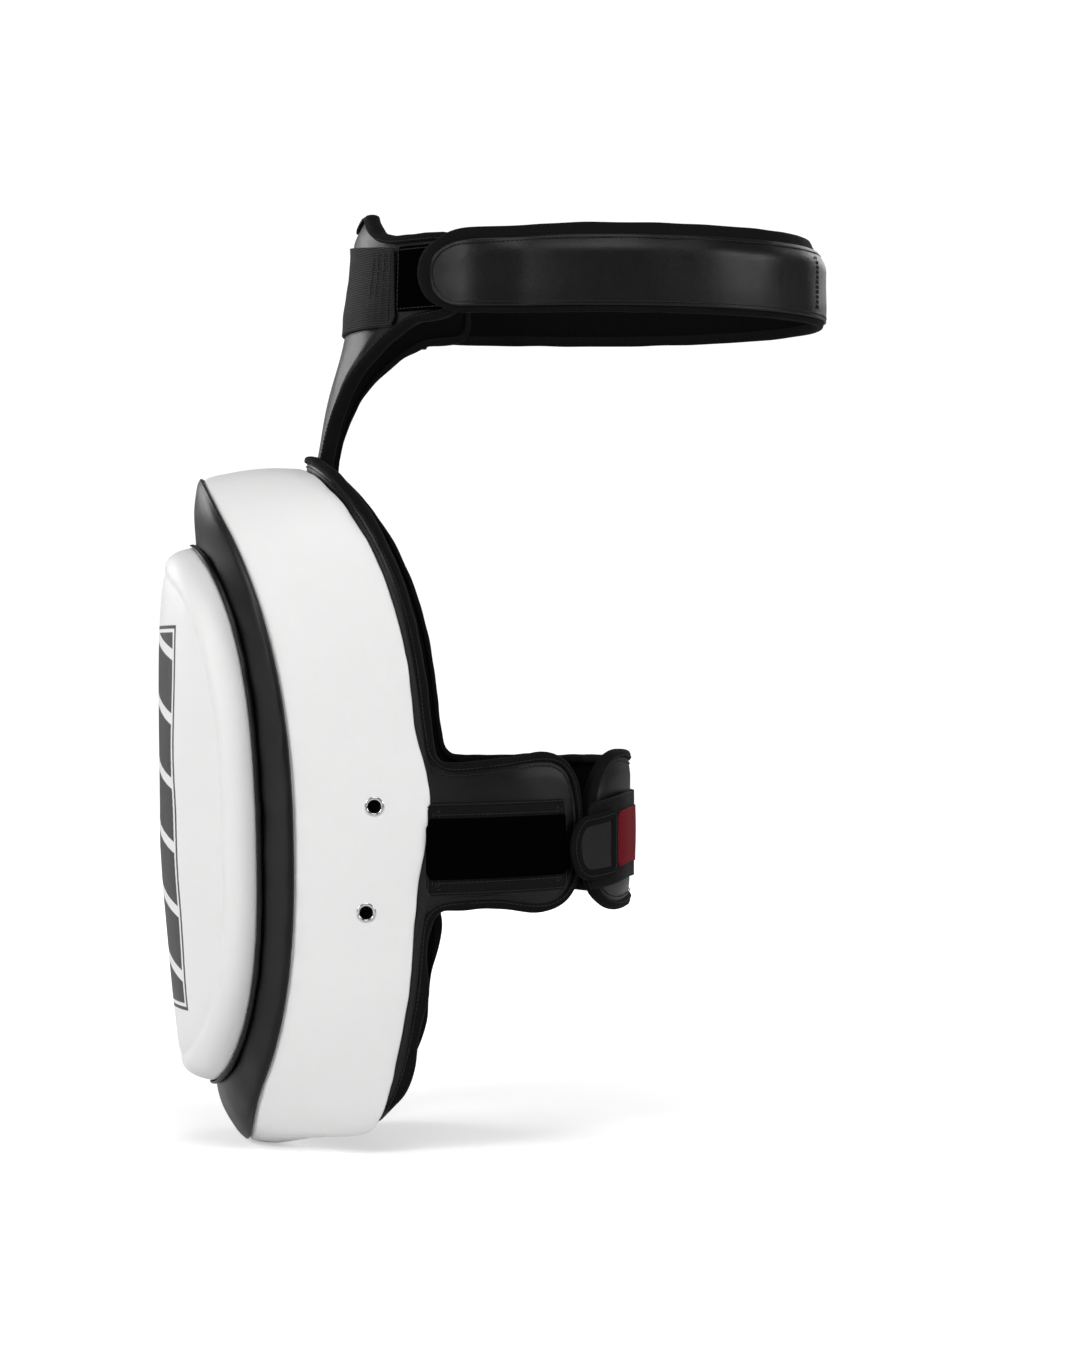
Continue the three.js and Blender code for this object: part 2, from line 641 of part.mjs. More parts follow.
function wrapChain(vertical) {
  const perRadian = thighPerRadian();
  const half = radians(PAD_INNER_HALF_ANGLE_DEG);
  const rearEnd = radians(REAR_WING_END_DEG);
  const frontEnd = radians(360 - REAR_WING_END_DEG - WING_TIP_GAP_DEG);
  const rear = wrapHalf(1, vertical, REAR_WING, (rearEnd - half) * perRadian);
  const front = wrapHalf(-1, vertical, FRONT_WING, (frontEnd - half) * perRadian);
  const chain = [...front.slice(1).reverse(), ...rear];
  return chain.filter((p, i) => i === 0 || p.angle - chain[i - 1].angle > LEAST_STEP / 2);
}

const wrapUpper = onGrid(wrapChain("top"));
const wrapLower = onGrid(wrapChain("bottom"));

function thighWrap() {
  return bentSheet(thighPoint, wrapUpper, wrapLower, 0, WRAP_THICKNESS, 1);
}

// A panel grown by the clearance along its edge, and made thicker: it keeps a binding off the panel.
function grownSheet(surface, upper, lower, innerLift, outerLift, rows) {
  const ends = radians(0.2);
  const grow = (chain, up) =>
    chain.map((p, i) => {
      const end = i === 0 ? -1 : Number(i === chain.length - 1);
      return { angle: p.angle + end * ends, z: p.z + up * CLEARANCE };
    });
  return bentSheet(surface, grow(upper, 1), grow(lower, -1), innerLift, outerLift, rows);
}

function thighWrapBinding() {
  const outline = thinned(closedOutline(wrapUpper, wrapLower), thighPerRadian, 13);
  const proud = BINDING_PROUD;
  const over = 2 * proud;
  return cutBy(
    edgeBinding(thighPoint, outline, thighPerRadian, WRAP_BINDING_WIDTH, -proud, WRAP_THICKNESS + proud),
    grownSheet(thighPoint, wrapUpper, wrapLower, -over, WRAP_THICKNESS + over, 1),
  );
}

const HIP_ROWS = 5;
// The hip panel's edge at the waist line and below, from the front end to the rear one.
function hipChain(vertical) {
  const half = radians(HIP_END_DEG);
  const rear = HIP_EDGE.map((row) => ({
    angle: half * row.around,
    z: vertical === "top" ? HIP_TOP_Z * row.top : HIP_TAIL_Z * row.bottom,
  }));
  const front = rear.slice(1).map((p) => ({ angle: -p.angle, z: p.z }));
  return onGrid([...front.reverse(), ...rear]);
}

function hipPanel() {
  return bentSheet(hipPoint, hipChain("top"), hipChain("bottom"), 0, HIP_THICKNESS, HIP_ROWS);
}

function hipPanelBinding() {
  const outline = thinned(closedOutline(hipChain("top"), hipChain("bottom")), waistPerRadian, 5);
  const proud = BINDING_PROUD;
  const over = 2 * proud;
  return cutBy(
    edgeBinding(hipPoint, outline, waistPerRadian, HIP_BINDING_WIDTH, -proud, HIP_THICKNESS + proud),
    grownSheet(hipPoint, hipChain("top"), hipChain("bottom"), -over, HIP_THICKNESS + over, HIP_ROWS),
  );
}

// The hip panel with the clearance added: what lies on it is cut by it.
function hipCutter() {
  const lift = HIP_THICKNESS + BINDING_PROUD + CLEARANCE;
  return bentSheet(hipPoint, hipChain("top"), hipChain("bottom"), -CUTTER_DEPTH, lift, HIP_ROWS);
}

function elasticBand() {
  const rear = radians(BAND_REAR_DEG);
  const front = radians(BELT_SEWN_END_DEG - 360) + (2 * CLEARANCE + BELT_BINDING_WIDTH) / waistPerRadian(0);
  const slope = (HIP_TOP_Z * HIP_EDGE[6].top - BAND_TOP_Z) / rear;
  const top = (angle) => BAND_TOP_Z + slope * Math.abs(angle);
  const upper = onGrid([front, 0, rear].map((angle) => ({ angle, z: top(angle) })));
  const bottom = BAND_TOP_Z - BAND_HEIGHT;
  const lower = straightEdge(front, rear, bottom, bottom);
  return cutBy(bentSheet(hipPoint, upper, lower, PATCH_LIFT, PATCH_LIFT + BAND_THICKNESS, 2), hipCutter());
}

function hookLoopPatch() {
  const start = radians(BAND_REAR_DEG) + (2 * CLEARANCE) / waistPerRadian(radians(BAND_REAR_DEG));
  const top = HIP_TOP_Z * HIP_EDGE[6].top;
  const edge = (z) => straightEdge(start, radians(HIP_END_DEG), z, z);
  const outerLift = PATCH_LIFT + PATCH_THICKNESS;
  return cutBy(bentSheet(hipPoint, edge(top), edge(top - PATCH_HEIGHT), PATCH_LIFT, outerLift, 2), hipCutter());
}

// The belt's edge: a rounded end at the rear left, straight edges and a square sewn end at the front left.
function beltChain(vertical) {
  const rise = ((vertical === "top" ? 1 : -1) * BELT_CORE_HEIGHT) / 2;
  const tip = radians(BELT_TIP_DEG);
  const length = BELT_END_LENGTH / waistPerRadian(tip);
  const round = [14, 34, 52, 70, 90].map((degrees) => ({
    angle: tip + length * (1 - Math.cos(radians(degrees))),
    z: BELT_MIDDLE_Z + rise * Math.sin(radians(degrees)),
  }));
  return onGrid([...round, { angle: radians(BELT_SEWN_END_DEG), z: BELT_MIDDLE_Z + rise }]);
}

const BELT_ROWS = 3;
const beltUpper = beltChain("top");
const beltLower = beltChain("bottom");
function waistBelt() {
  return bentSheet(beltPoint, beltUpper, beltLower, 0, BELT_CORE_THICKNESS, BELT_ROWS);
}

function waistBeltFacing() {
  const lift = BELT_CORE_THICKNESS + CLEARANCE;
  return bentSheet(beltPoint, beltUpper, beltLower, lift, lift + BELT_FACING_THICKNESS, BELT_ROWS);
}

function waistBeltBinding() {
  const outline = thinned(closedOutline(beltUpper, beltLower), waistPerRadian, 8);
  const proud = BINDING_PROUD;
  const over = 2 * proud;
  const outerLift = BELT_CORE_THICKNESS + proud;
  return cutBy(
    edgeBinding(beltPoint, outline, waistPerRadian, BELT_BINDING_WIDTH, -proud, outerLift),
    grownSheet(beltPoint, beltUpper, beltLower, -over, BELT_CORE_THICKNESS + over, BELT_ROWS),
  );
}

// Loop tape on the rear wing. It narrows a little towards the wing's tip.
const STRAP_LIFT = WRAP_THICKNESS + CLEARANCE;
const STRAP_START_DEG = PAD_INNER_HALF_ANGLE_DEG + 2;
function loopStrap() {
  const from = radians(STRAP_START_DEG);
  const to = radians(LOOP_STRAP_END_DEG);
  const half = LOOP_STRAP_HEIGHT / 2;
  const edge = (sign) =>
    straightEdge(from, to, STRAP_CENTRE_Z + sign * half, STRAP_CENTRE_Z + sign * half * LOOP_STRAP_TIP_SHARE);
  return bentSheet(thighPoint, edge(1), edge(-1), STRAP_LIFT, STRAP_LIFT + LOOP_STRAP_THICKNESS, 1);
}

// The closing strap lies on the front wing and climbs over the gap between the wings onto the loop tape.
const CLIMB_LIFT = LOOP_STRAP_THICKNESS + BINDING_PROUD + CLEARANCE;
const CLIMB_LENGTH_DEG = 16;
const CLIMB_END_DEG = 360 - REAR_WING_END_DEG - 2 * WING_TIP_GAP_DEG;
function strapPoint(angle, z, lift) {
  const climb = smooth(-angle, radians(CLIMB_END_DEG - CLIMB_LENGTH_DEG), radians(CLIMB_END_DEG));
  return thighPoint(angle, z, STRAP_LIFT + CLIMB_LIFT * climb + lift);
}

// The tab is sewn over the end of the strap.
const TAB_OVER_STRAP_SHARE = 0.6;
const TAB_TIP = radians(TAB_TIP_DEG - 360);
const STRAP_END = TAB_TIP + radians(TAB_LENGTH_DEG * (1 - TAB_OVER_STRAP_SHARE));
function closingStrap() {
  const to = -radians(STRAP_START_DEG);
  const half = CLOSING_STRAP_HEIGHT / 2;
  const edge = (sign) => {
    const z = STRAP_CENTRE_Z + sign * half;
    return straightEdge(STRAP_END, to, z, z);
  };
  return bentSheet(strapPoint, edge(1), edge(-1), 0, CLOSING_STRAP_THICKNESS, 1);
}

const TAB_LIFT = CLOSING_STRAP_THICKNESS + CLEARANCE;
function strapTab() {
  const length = TAB_END_LENGTH / thighPerRadian();
  const edge = (sign) => {
    const round = [14, 40, 65, 90].map((degrees) => ({
      angle: TAB_TIP + length * (1 - Math.cos(radians(degrees))),
      z: STRAP_CENTRE_Z + sign * (TAB_HEIGHT / 2) * Math.sin(radians(degrees)),
    }));
    const end = { angle: TAB_TIP + radians(TAB_LENGTH_DEG), z: STRAP_CENTRE_Z + (sign * TAB_HEIGHT) / 2 };
    return onGrid([...round, end]);
  };
  return bentSheet(strapPoint, edge(1), edge(-1), TAB_LIFT, TAB_LIFT + TAB_THICKNESS, 1);
}

function strapLabel() {
  const from = TAB_TIP + radians(TAB_LENGTH_DEG) + (2 * CLEARANCE) / thighPerRadian();
  const edge = (sign) => {
    const z = STRAP_CENTRE_Z + (sign * LABEL_HEIGHT) / 2;
    return straightEdge(from, from + radians(LABEL_LENGTH_DEG), z, z);
  };
  return bentSheet(strapPoint, edge(1), edge(-1), TAB_LIFT, TAB_LIFT + LABEL_THICKNESS, 1);
}

// A brass vent ring: a barrel in its pocket under a rounded flange.
function eyelet(z) {
  const top = EYELET_PROUD;
  const profile = [
    [EYELET_HOLE_RADIUS, -EYELET_DEPTH + CLEARANCE],
    [EYELET_RADIUS - 1.2, -EYELET_DEPTH + CLEARANCE],
    [EYELET_RADIUS, 0],
    [EYELET_RADIUS - 0.4, top * 0.7],
    [(EYELET_RADIUS + EYELET_HOLE_RADIUS) / 2, top],
    [EYELET_HOLE_RADIUS, top * 0.3],
  ].map(([x, y]) => new THREE.Vector2(x, y));
  const ring = new THREE.LatheGeometry([...profile, profile[0].clone()], EYELET_STEPS).rotateX(Math.PI / 2);
  ring.applyMatrix4(onWall(new THREE.Object3D(), eyeletPlace(z)).matrix);
  return toGeometry(toSolid(facingOut(mergeVertices(stripped(ring), 1e-3))));
}

function stripped(geometry) {
  geometry.deleteAttribute("normal");
  geometry.deleteAttribute("uv");
  return geometry;
}

const finish = (colour, roughness, metalness = 0) =>
  new THREE.MeshStandardMaterial({ color: colour, roughness, metalness });
const WHITE_LEATHER = finish(0xe8e8e8, 0.55);
const BLACK_LEATHER = finish(0x1d1d1f, 0.42);
const BLACK_BINDING = finish(0x141416, 0.6);
const BLACK_PANEL = finish(0x18181a, 0.6);
const BLACK_WEBBING = finish(0x262628, 0.85);
const BLACK_LOOP = finish(0x050506, 0.98);
const DARK_RED_LABEL = finish(0x6b1420, 0.7);
const NICKEL = finish(0xb9bcc0, 0.28, 1);

const guard = new THREE.Group();
function add(name, geometry, material) {
  geometry.computeVertexNormals();
  const mesh = new THREE.Mesh(geometry, material);
  mesh.name = name;
  guard.add(mesh);
}

add("base_pad", basePad(), WHITE_LEATHER);
add("face_panel", facePanel(), BLACK_LEATHER);
add("striking_pad", strikingPad(), WHITE_LEATHER);
add("striking_pad_welt", strikingWelt(), BLACK_BINDING);
add("thigh_wrap", thighWrap(), BLACK_PANEL);
add("thigh_wrap_binding", thighWrapBinding(), BLACK_BINDING);
add("hip_panel", hipPanel(), BLACK_LEATHER);
add("hip_panel_binding", hipPanelBinding(), BLACK_BINDING);
add("elastic_band", elasticBand(), BLACK_WEBBING);
add("hook_loop_patch", hookLoopPatch(), BLACK_LOOP);
add("waist_belt", waistBelt(), BLACK_PANEL);
add("waist_belt_facing", waistBeltFacing(), BLACK_LEATHER);
add("waist_belt_binding", waistBeltBinding(), BLACK_BINDING);
add("loop_strap", loopStrap(), BLACK_LOOP);
add("closing_strap", closingStrap(), BLACK_WEBBING);
add("strap_tab", strapTab(), BLACK_LEATHER);
add("strap_label", strapLabel(), DARK_RED_LABEL);
add("upper_eyelet", eyelet(EYELET_Z[0]), NICKEL);
add("lower_eyelet", eyelet(EYELET_Z[1]), NICKEL);

export default guard;
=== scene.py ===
"""Visual model of a muay thai thigh guard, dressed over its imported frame.

The guard is a thick curved kick pad for the outside of the left thigh. A hip panel hangs it from a
waist belt, and two wings with a hook and loop strap close it round the thigh. Everything here is in
metres, in the frame of the solids: +Z is up, +Y is the way the wearer faces and -X is their left.
"""

from __future__ import annotations

import logging
import math
from collections.abc import Callable
from dataclasses import dataclass, field
from enum import Enum

import bpy
import numpy as np
from mathutils import Matrix, Vector


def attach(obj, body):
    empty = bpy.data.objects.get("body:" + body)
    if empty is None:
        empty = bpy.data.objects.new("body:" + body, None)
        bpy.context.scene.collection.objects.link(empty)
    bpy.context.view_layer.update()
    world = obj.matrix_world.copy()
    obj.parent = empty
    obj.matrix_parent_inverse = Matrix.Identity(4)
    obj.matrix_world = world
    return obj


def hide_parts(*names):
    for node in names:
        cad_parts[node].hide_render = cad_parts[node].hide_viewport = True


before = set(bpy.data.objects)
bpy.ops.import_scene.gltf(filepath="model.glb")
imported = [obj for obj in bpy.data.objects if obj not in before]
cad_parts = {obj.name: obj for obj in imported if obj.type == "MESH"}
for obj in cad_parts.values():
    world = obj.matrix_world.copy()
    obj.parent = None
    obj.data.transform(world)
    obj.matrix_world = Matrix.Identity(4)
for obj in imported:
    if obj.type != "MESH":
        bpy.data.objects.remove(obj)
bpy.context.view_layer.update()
LOG = logging.getLogger("thigh_guard")

Array = np.ndarray
Surface = Callable[[Array, Array, Array], Array]


class Edge(Enum):
    """The upper or the lower edge of a panel."""

    UPPER = 1
    LOWER = -1


class Side(Enum):
    """The rear or the front half of the guard."""

    REAR = 1
    FRONT = -1


class Hold(Enum):
    """How a piece of cloth is held."""

    STRETCHED = "stretched"
    LAID = "laid"
    FOLDED = "folded"


# Numbers and curves


def eased(value: Array | float, start: float, end: float) -> Array:
    """A share that rises softly from 0 at start to 1 at end."""
    share = np.clip((np.asarray(value, float) - start) / (end - start), 0.0, 1.0)
    return share * share * (3.0 - 2.0 * share)


def mixed(first: Array | float, second: Array | float, share: Array | float) -> Array:
    """A value between two others."""
    return np.asarray(first, float) + (np.asarray(second, float) - first) * share


def ripple(points: Array, wavelength: float, seed: int, waves: int = 7) -> Array:
    """Soft unevenness over a surface.

    Args:
        points: Places, one row each.
        wavelength: The usual distance between two crests.
        seed: Picks the pattern.
        waves: How many plane waves are added up.

    Returns:
        One value per place, mostly between -1 and 1.
    """
    source = np.random.default_rng(seed)
    total = np.zeros(points.shape[:-1])
    for _ in range(waves):
        direction = source.normal(size=3)
        direction /= np.linalg.norm(direction)
        turn = 2 * math.pi / (wavelength * source.uniform(0.7, 1.6))
        total += np.sin(points @ (direction * turn) + source.uniform(0, 2 * math.pi))
    return total / math.sqrt(waves)


def resampled(line: Array, step: float, closed: bool) -> Array:
    """Points at even steps along a line.

    Args:
        line: The line's points, one row each.
        step: The distance wanted between two points.
        closed: Whether the line runs back to its start.

    Returns:
        The new points, without a repeat of the first.
    """
    ends = np.vstack([line, line[:1]]) if closed else line
    lengths = np.concatenate([[0.0], np.cumsum(np.linalg.norm(np.diff(ends, axis=0), axis=1))])
    count = max(8, int(round(lengths[-1] / step)))
    places = np.linspace(0.0, lengths[-1], count, endpoint=not closed)
    return np.column_stack([np.interp(places, lengths, ends[:, k]) for k in range(line.shape[1])])


def rounded(line: Array, passes: int, closed: bool = True) -> Array:
    """A line with its corners eased by averaging neighbours."""
    for _ in range(passes):
        before, after = np.roll(line, 1, axis=0), np.roll(line, -1, axis=0)
        eased_line = 0.5 * line + 0.25 * (before + after)
        if not closed:
            eased_line[[0, -1]] = line[[0, -1]]
        line = eased_line
    return line


# The surfaces that the pieces lie on

TAPE_WIDTH = 0.0085
HIP_PANEL_END = math.radians(54)


@dataclass(frozen=True)
class BodyForm:
    """The upright oval surfaces that the pieces lie on, at the waist and at the thigh."""

    waist_half_width: float = 0.150
    waist_half_depth: float = 0.109
    waist_x: float = 0.003
    thigh_half_width: float = 0.101
    thigh_half_depth: float = 0.097
    thigh_x: float = -0.079
    tail_lift: float = -0.0088
    slope_top_z: float = -0.031
    slope_end_z: float = -0.114
    belt_middle_z: float = 0.0005
    belt_raised_lift: float = 0.0111
    belt_low_lift: float = 0.0008
    belt_lean: float = 0.008
    belt_lean_run: tuple[float, float] = (0.011, 0.0305)
    belt_ramp: float = math.radians(16)
    hip_lean: float = 0.006
    hip_lean_run: tuple[float, float] = (0.028, 0.052)
    hip_swell: float = 0.0052
    swell_start: tuple[float, float] = (-0.022, 0.034)
    swell_end: tuple[float, float] = (0.055, 0.112)
    swell_sides: tuple[float, float] = (math.radians(24), math.radians(46))
    hip_end: float = HIP_PANEL_END + TAPE_WIDTH / waist_half_depth

    @staticmethod
    def ellipse(x: Array, half_width: Array, half_depth: Array, angle: Array, z: Array) -> Array:
        """Points on an ellipse: the angle starts at the wearer's left and grows to the back."""
        across, deep, up = np.broadcast_arrays(
            x - half_width * np.cos(angle), -half_depth * np.sin(angle), z
        )
        return np.stack([across, deep, up], axis=-1)

    def thigh(self, angle: Array, z: Array, lift: Array) -> Array:
        """Points on the thigh, lifted outwards."""
        return self.ellipse(
            self.thigh_x, self.thigh_half_width + lift, self.thigh_half_depth + lift, angle, z
        )

    def hip(self, angle: Array, z: Array, lift: Array) -> Array:
        """Points from the waist down to the thigh, where the hip panel ends inside the wrap."""
        down = np.clip((z - self.slope_top_z) / (self.slope_end_z - self.slope_top_z), 0.0, 1.0)
        down = mixed(down, down * down * (3 - 2 * down), 0.5)
        x = mixed(self.waist_x, self.thigh_x, down)
        swell = self.hip_swell * eased(-z, *self.swell_start) * (1 - eased(-z, *self.swell_end))
        swell *= 1 - eased(np.abs(angle), *self.swell_sides)
        lean = self.hip_lean * eased(z, *self.hip_lean_run) - swell
        wide = mixed(self.waist_half_width, self.thigh_half_width + self.tail_lift, down) - lean
        deep = mixed(self.waist_half_depth, self.thigh_half_depth + self.tail_lift, down) - lean
        return self.ellipse(x, wide + lift, deep + lift, angle, z)

    def belt(self, angle: Array, z: Array, lift: Array) -> Array:
        """Points on the belt's own surface: it climbs onto the hip panel at both ends."""
        from_end = np.minimum(angle, 2 * math.pi - angle) - self.hip_end
        lowered = eased(from_end, math.radians(1), self.belt_ramp)
        upper = eased(z - self.belt_middle_z, *self.belt_lean_run)
        out = mixed(self.belt_raised_lift, self.belt_low_lift, lowered) - self.belt_lean * upper * lowered
        wide, deep = self.waist_half_width + out + lift, self.waist_half_depth + out + lift
        return self.ellipse(self.waist_x, wide, deep, angle, z)

    def waist_scale(self, angle: Array) -> Array:
        """Metres to a radian round the waist."""
        return np.hypot(self.waist_half_width * np.sin(angle), self.waist_half_depth * np.cos(angle)) + 0.008

    def thigh_scale(self, angle: Array) -> Array:
        """Metres to a radian round the thigh."""
        return np.full(np.shape(angle), (self.thigh_half_width + self.thigh_half_depth) / 2 + 0.0035)


@dataclass(frozen=True)
class PadOutline:
    """A rounded outline on a curved face, squarer or rounder by its powers."""

    top_z: float
    height: float
    half_angle: float
    top_power: float
    bottom_power: float
    bottom_taper: float = 0.0
    radius: float = 0.130
    low_gain: float = 0.0
    gain_run: tuple[float, float] = (0.285, 0.325)
    wing_bump: float = 0.0
    wing_z: float = -0.346
    wing_reach: float = 0.031

    @property
    def middle_z(self) -> float:
        """The height of its middle."""
        return self.top_z - self.height / 2

    def quarter(self, edge: Edge, count: int) -> Array:
        """Even shares (across, up) from the side to the top or the bottom."""
        turn = np.linspace(0.0, math.pi / 2, 600)
        power = self.top_power if edge is Edge.UPPER else self.bottom_power
        up = np.sin(turn) ** (2 / power)
        taper = self.bottom_taper * up**2 if edge is Edge.LOWER else 0.0
        across = np.cos(turn) ** (2 / power) * (1 - taper)
        run = np.hypot(np.diff(across) * self.half_angle * self.radius, np.diff(up) * self.height / 2)
        lengths = np.concatenate([[0.0], np.cumsum(run)])
        places = np.linspace(0.0, lengths[-1], count, endpoint=False)
        wide, high = np.interp(places, lengths, across), np.interp(places, lengths, up)
        return np.column_stack([wide, edge.value * high])

    def ring(self, count: int) -> Array:
        """Shares (across, up) all the way round, from the rear side over the top."""
        quarter = count // 4
        upper, lower = self.quarter(Edge.UPPER, quarter), self.quarter(Edge.LOWER, quarter)
        top, bottom = np.array([[0.0, 1.0]]), np.array([[0.0, -1.0]])
        flip = np.array([-1.0, 1.0])
        front_upper = (np.vstack([upper[1:], top])[::-1]) * flip
        front_lower = lower * flip
        rear_lower = np.vstack([lower[1:], bottom])[::-1]
        return np.vstack([upper, front_upper, front_lower, rear_lower])

    def at(self, shares: Array, scale: Array | float) -> tuple[Array, Array]:
        """Angles and heights of shares of the outline, drawn out where the wing pulls at it."""
        z = self.middle_z + shares[..., 1] * self.height / 2 * scale
        near_wing = np.exp(-(((z - self.wing_z) / self.wing_reach) ** 2))
        drawn = self.low_gain * eased(-z, *self.gain_run) + self.wing_bump * near_wing
        return shares[..., 0] * (self.half_angle + drawn) * scale, z

    @staticmethod
    def thinned(shares: Array, scale: float) -> Array:
        """Fewer points of a ring near its middle, so that no pole is crowded."""
        return shares[:: 9 if scale < 0.2 else 3 if scale < 0.45 else 1]


@dataclass(frozen=True)
class PadForm:
    """The kick pad: its outer face and its outlines."""

    face_radius: float = 0.130
    face_out: float = 0.2515
    face_lean: float = math.radians(2.6)
    low_lean_share: float = 0.55
    bottom_roll: float = 0.019
    bottom_start: float = 0.78
    bottom_run: float = 0.22
    top_roll: float = 0.004
    top_start: float = 0.85
    top_run: float = 0.15
    roll_limit: float = 1.3
    wall_bulge: float = 0.0025
    inner: PadOutline = PadOutline(
        -0.120, 0.433, math.radians(74), 2.5, 20.0, bottom_taper=0.22,
        low_gain=math.radians(3), wing_bump=math.radians(2.4),
    )
    outer: PadOutline = PadOutline(-0.126, 0.437, math.radians(59), 2.3, 2.75)
    striking: PadOutline = PadOutline(-0.1715, 0.353, math.radians(47), 2.8, 3.1)

    def face(self, angle: Array, z: Array, lift: Array) -> Array:
        """Points on the outer face, lifted outwards."""
        height = (z - self.outer.middle_z) / (self.outer.height / 2)
        lean = math.tan(self.face_lean) * (z - self.outer.middle_z)
        lean = np.where(lean < 0, lean * self.low_lean_share, lean)
        below = np.clip((-height - self.bottom_start) / self.bottom_run, 0, self.roll_limit)
        above = np.clip((height - self.top_start) / self.top_run, 0, self.roll_limit)
        bottom, top = self.bottom_roll * below**2, self.top_roll * above**2
        centre = -(self.face_out + lean - bottom - top) + self.face_radius
        radius = self.face_radius + lift
        return BodyForm.ellipse(centre, radius, radius, angle, z)

    def face_scale(self, angle: Array) -> Array:
        """Metres to a radian round the face."""
        return np.full(np.shape(angle), self.face_radius)


BODY = BodyForm()
PAD = PadForm()


# Meshes


def clear_selection() -> None:
    """Leaves nothing selected."""
    bpy.ops.object.select_all(action="DESELECT")


def make_piece(
    name: str, points: Array, faces: list[tuple[int, ...]], uv: Array | None = None
) -> bpy.types.Object:
    """A smooth mesh object.

    Args:
        name: The piece's name.
        points: Its points, one row each.
        faces: Point numbers of each face.
        uv: A place on the cloth for each point, in metres.

    Returns:
        The new object, in the scene.
    """
    mesh = bpy.data.meshes.new(name)
    mesh.from_pydata(points.tolist(), [], faces)
    mesh.polygons.foreach_set("use_smooth", np.ones(len(mesh.polygons), bool))
    if uv is not None:
        layer = mesh.uv_layers.new(name="cloth")
        corners = np.zeros(len(mesh.loops), np.int32)
        mesh.loops.foreach_get("vertex_index", corners)
        layer.data.foreach_set("uv", uv[corners].astype(np.float32).ravel())
    mesh.validate()
    mesh.update()
    piece = bpy.data.objects.new(name, mesh)
    bpy.context.scene.collection.objects.link(piece)
    face_outwards(piece)
    return piece


def face_outwards(piece: bpy.types.Object) -> None:
    """Turns a closed mesh's faces outwards."""
    clear_selection()
    bpy.context.view_layer.objects.active = piece
    piece.select_set(True)
    bpy.ops.object.mode_set(mode="EDIT")
    bpy.ops.mesh.select_all(action="SELECT")
    bpy.ops.mesh.normals_make_consistent(inside=False)
    bpy.ops.object.mode_set(mode="OBJECT")
    clear_selection()


def ring_faces(rings: int, count: int, closed: bool) -> list[tuple[int, ...]]:
    """Quads between rings of points that close on themselves."""
    faces = []
    for r in range(rings if closed else rings - 1):
        first, second = r * count, ((r + 1) % rings) * count
        for i in range(count):
            j = (i + 1) % count
            faces.append((first + i, first + j, second + j, second + i))
    return faces


def lofted(name: str, rings: list[Array], first: Array, last: Array) -> bpy.types.Object:
    """A closed solid through rings, with a pole at each end.

    Args:
        name: The piece's name.
        rings: The rings in order. A ring may have a third of its neighbour's points.
        first: The pole before the first ring.
        last: The pole after the last one.

    Returns:
        The new object.
    """
    starts = np.concatenate([[0], np.cumsum([len(ring) for ring in rings])]).astype(int).tolist()
    faces: list[tuple[int, ...]] = []
    for r in range(len(rings) - 1):
        a, b, start, after = len(rings[r]), len(rings[r + 1]), starts[r], starts[r + 1]
        few, many = min(a, b), max(a, b)
        per_a, per_b = a // few, b // few
        if many // few not in (1, 3):
            raise ValueError(f"{name}: rings of {a} and {b} points don't join")
        for i in range(few):
            near = [start + (i * per_a + k) % a for k in range(per_a + 1)]
            far = [after + (i * per_b + k) % b for k in range(per_b + 1)]
            faces.append((*near, *far[::-1]))
    head, end = starts[-1], starts[-2]
    for i in range(len(rings[0])):
        faces.append((head, (i + 1) % len(rings[0]), i))
    for i in range(len(rings[-1])):
        faces.append((head + 1, end + i, end + (i + 1) % len(rings[-1])))
    return make_piece(name, np.vstack([*rings, first[None], last[None]]), faces)


def swept(name: str, sections: Array, closed: bool, uv: Array | None = None) -> bpy.types.Object:
    """A closed solid through sections, as a ring or with flat ends.

    Args:
        name: The piece's name.
        sections: Points by section and by place in the section.
        closed: Whether the last section joins the first.
        uv: A place on the cloth for each point, in the same shape.

    Returns:
        The new object.
    """
    rings, count = sections.shape[:2]
    faces = ring_faces(rings, count, closed)
    if not closed:
        end = (rings - 1) * count
        for i in range(count // 2 - 1):
            across = count - 1 - i
            faces.append((i, across, across - 1, i + 1))
            faces.append((end + i, end + i + 1, end + across - 1, end + across))
    flat_uv = None if uv is None else uv.reshape(-1, 2)
    return make_piece(name, sections.reshape(-1, 3), faces, flat_uv)


def subdivide(piece: bpy.types.Object, levels: int) -> None:
    """Smooths a mesh with a subdivision surface and applies it."""
    modifier = piece.modifiers.new("smooth", "SUBSURF")
    modifier.levels = modifier.render_levels = levels
    bpy.context.view_layer.objects.active = piece
    piece.select_set(True)
    bpy.ops.object.modifier_apply(modifier=modifier.name)
    clear_selection()


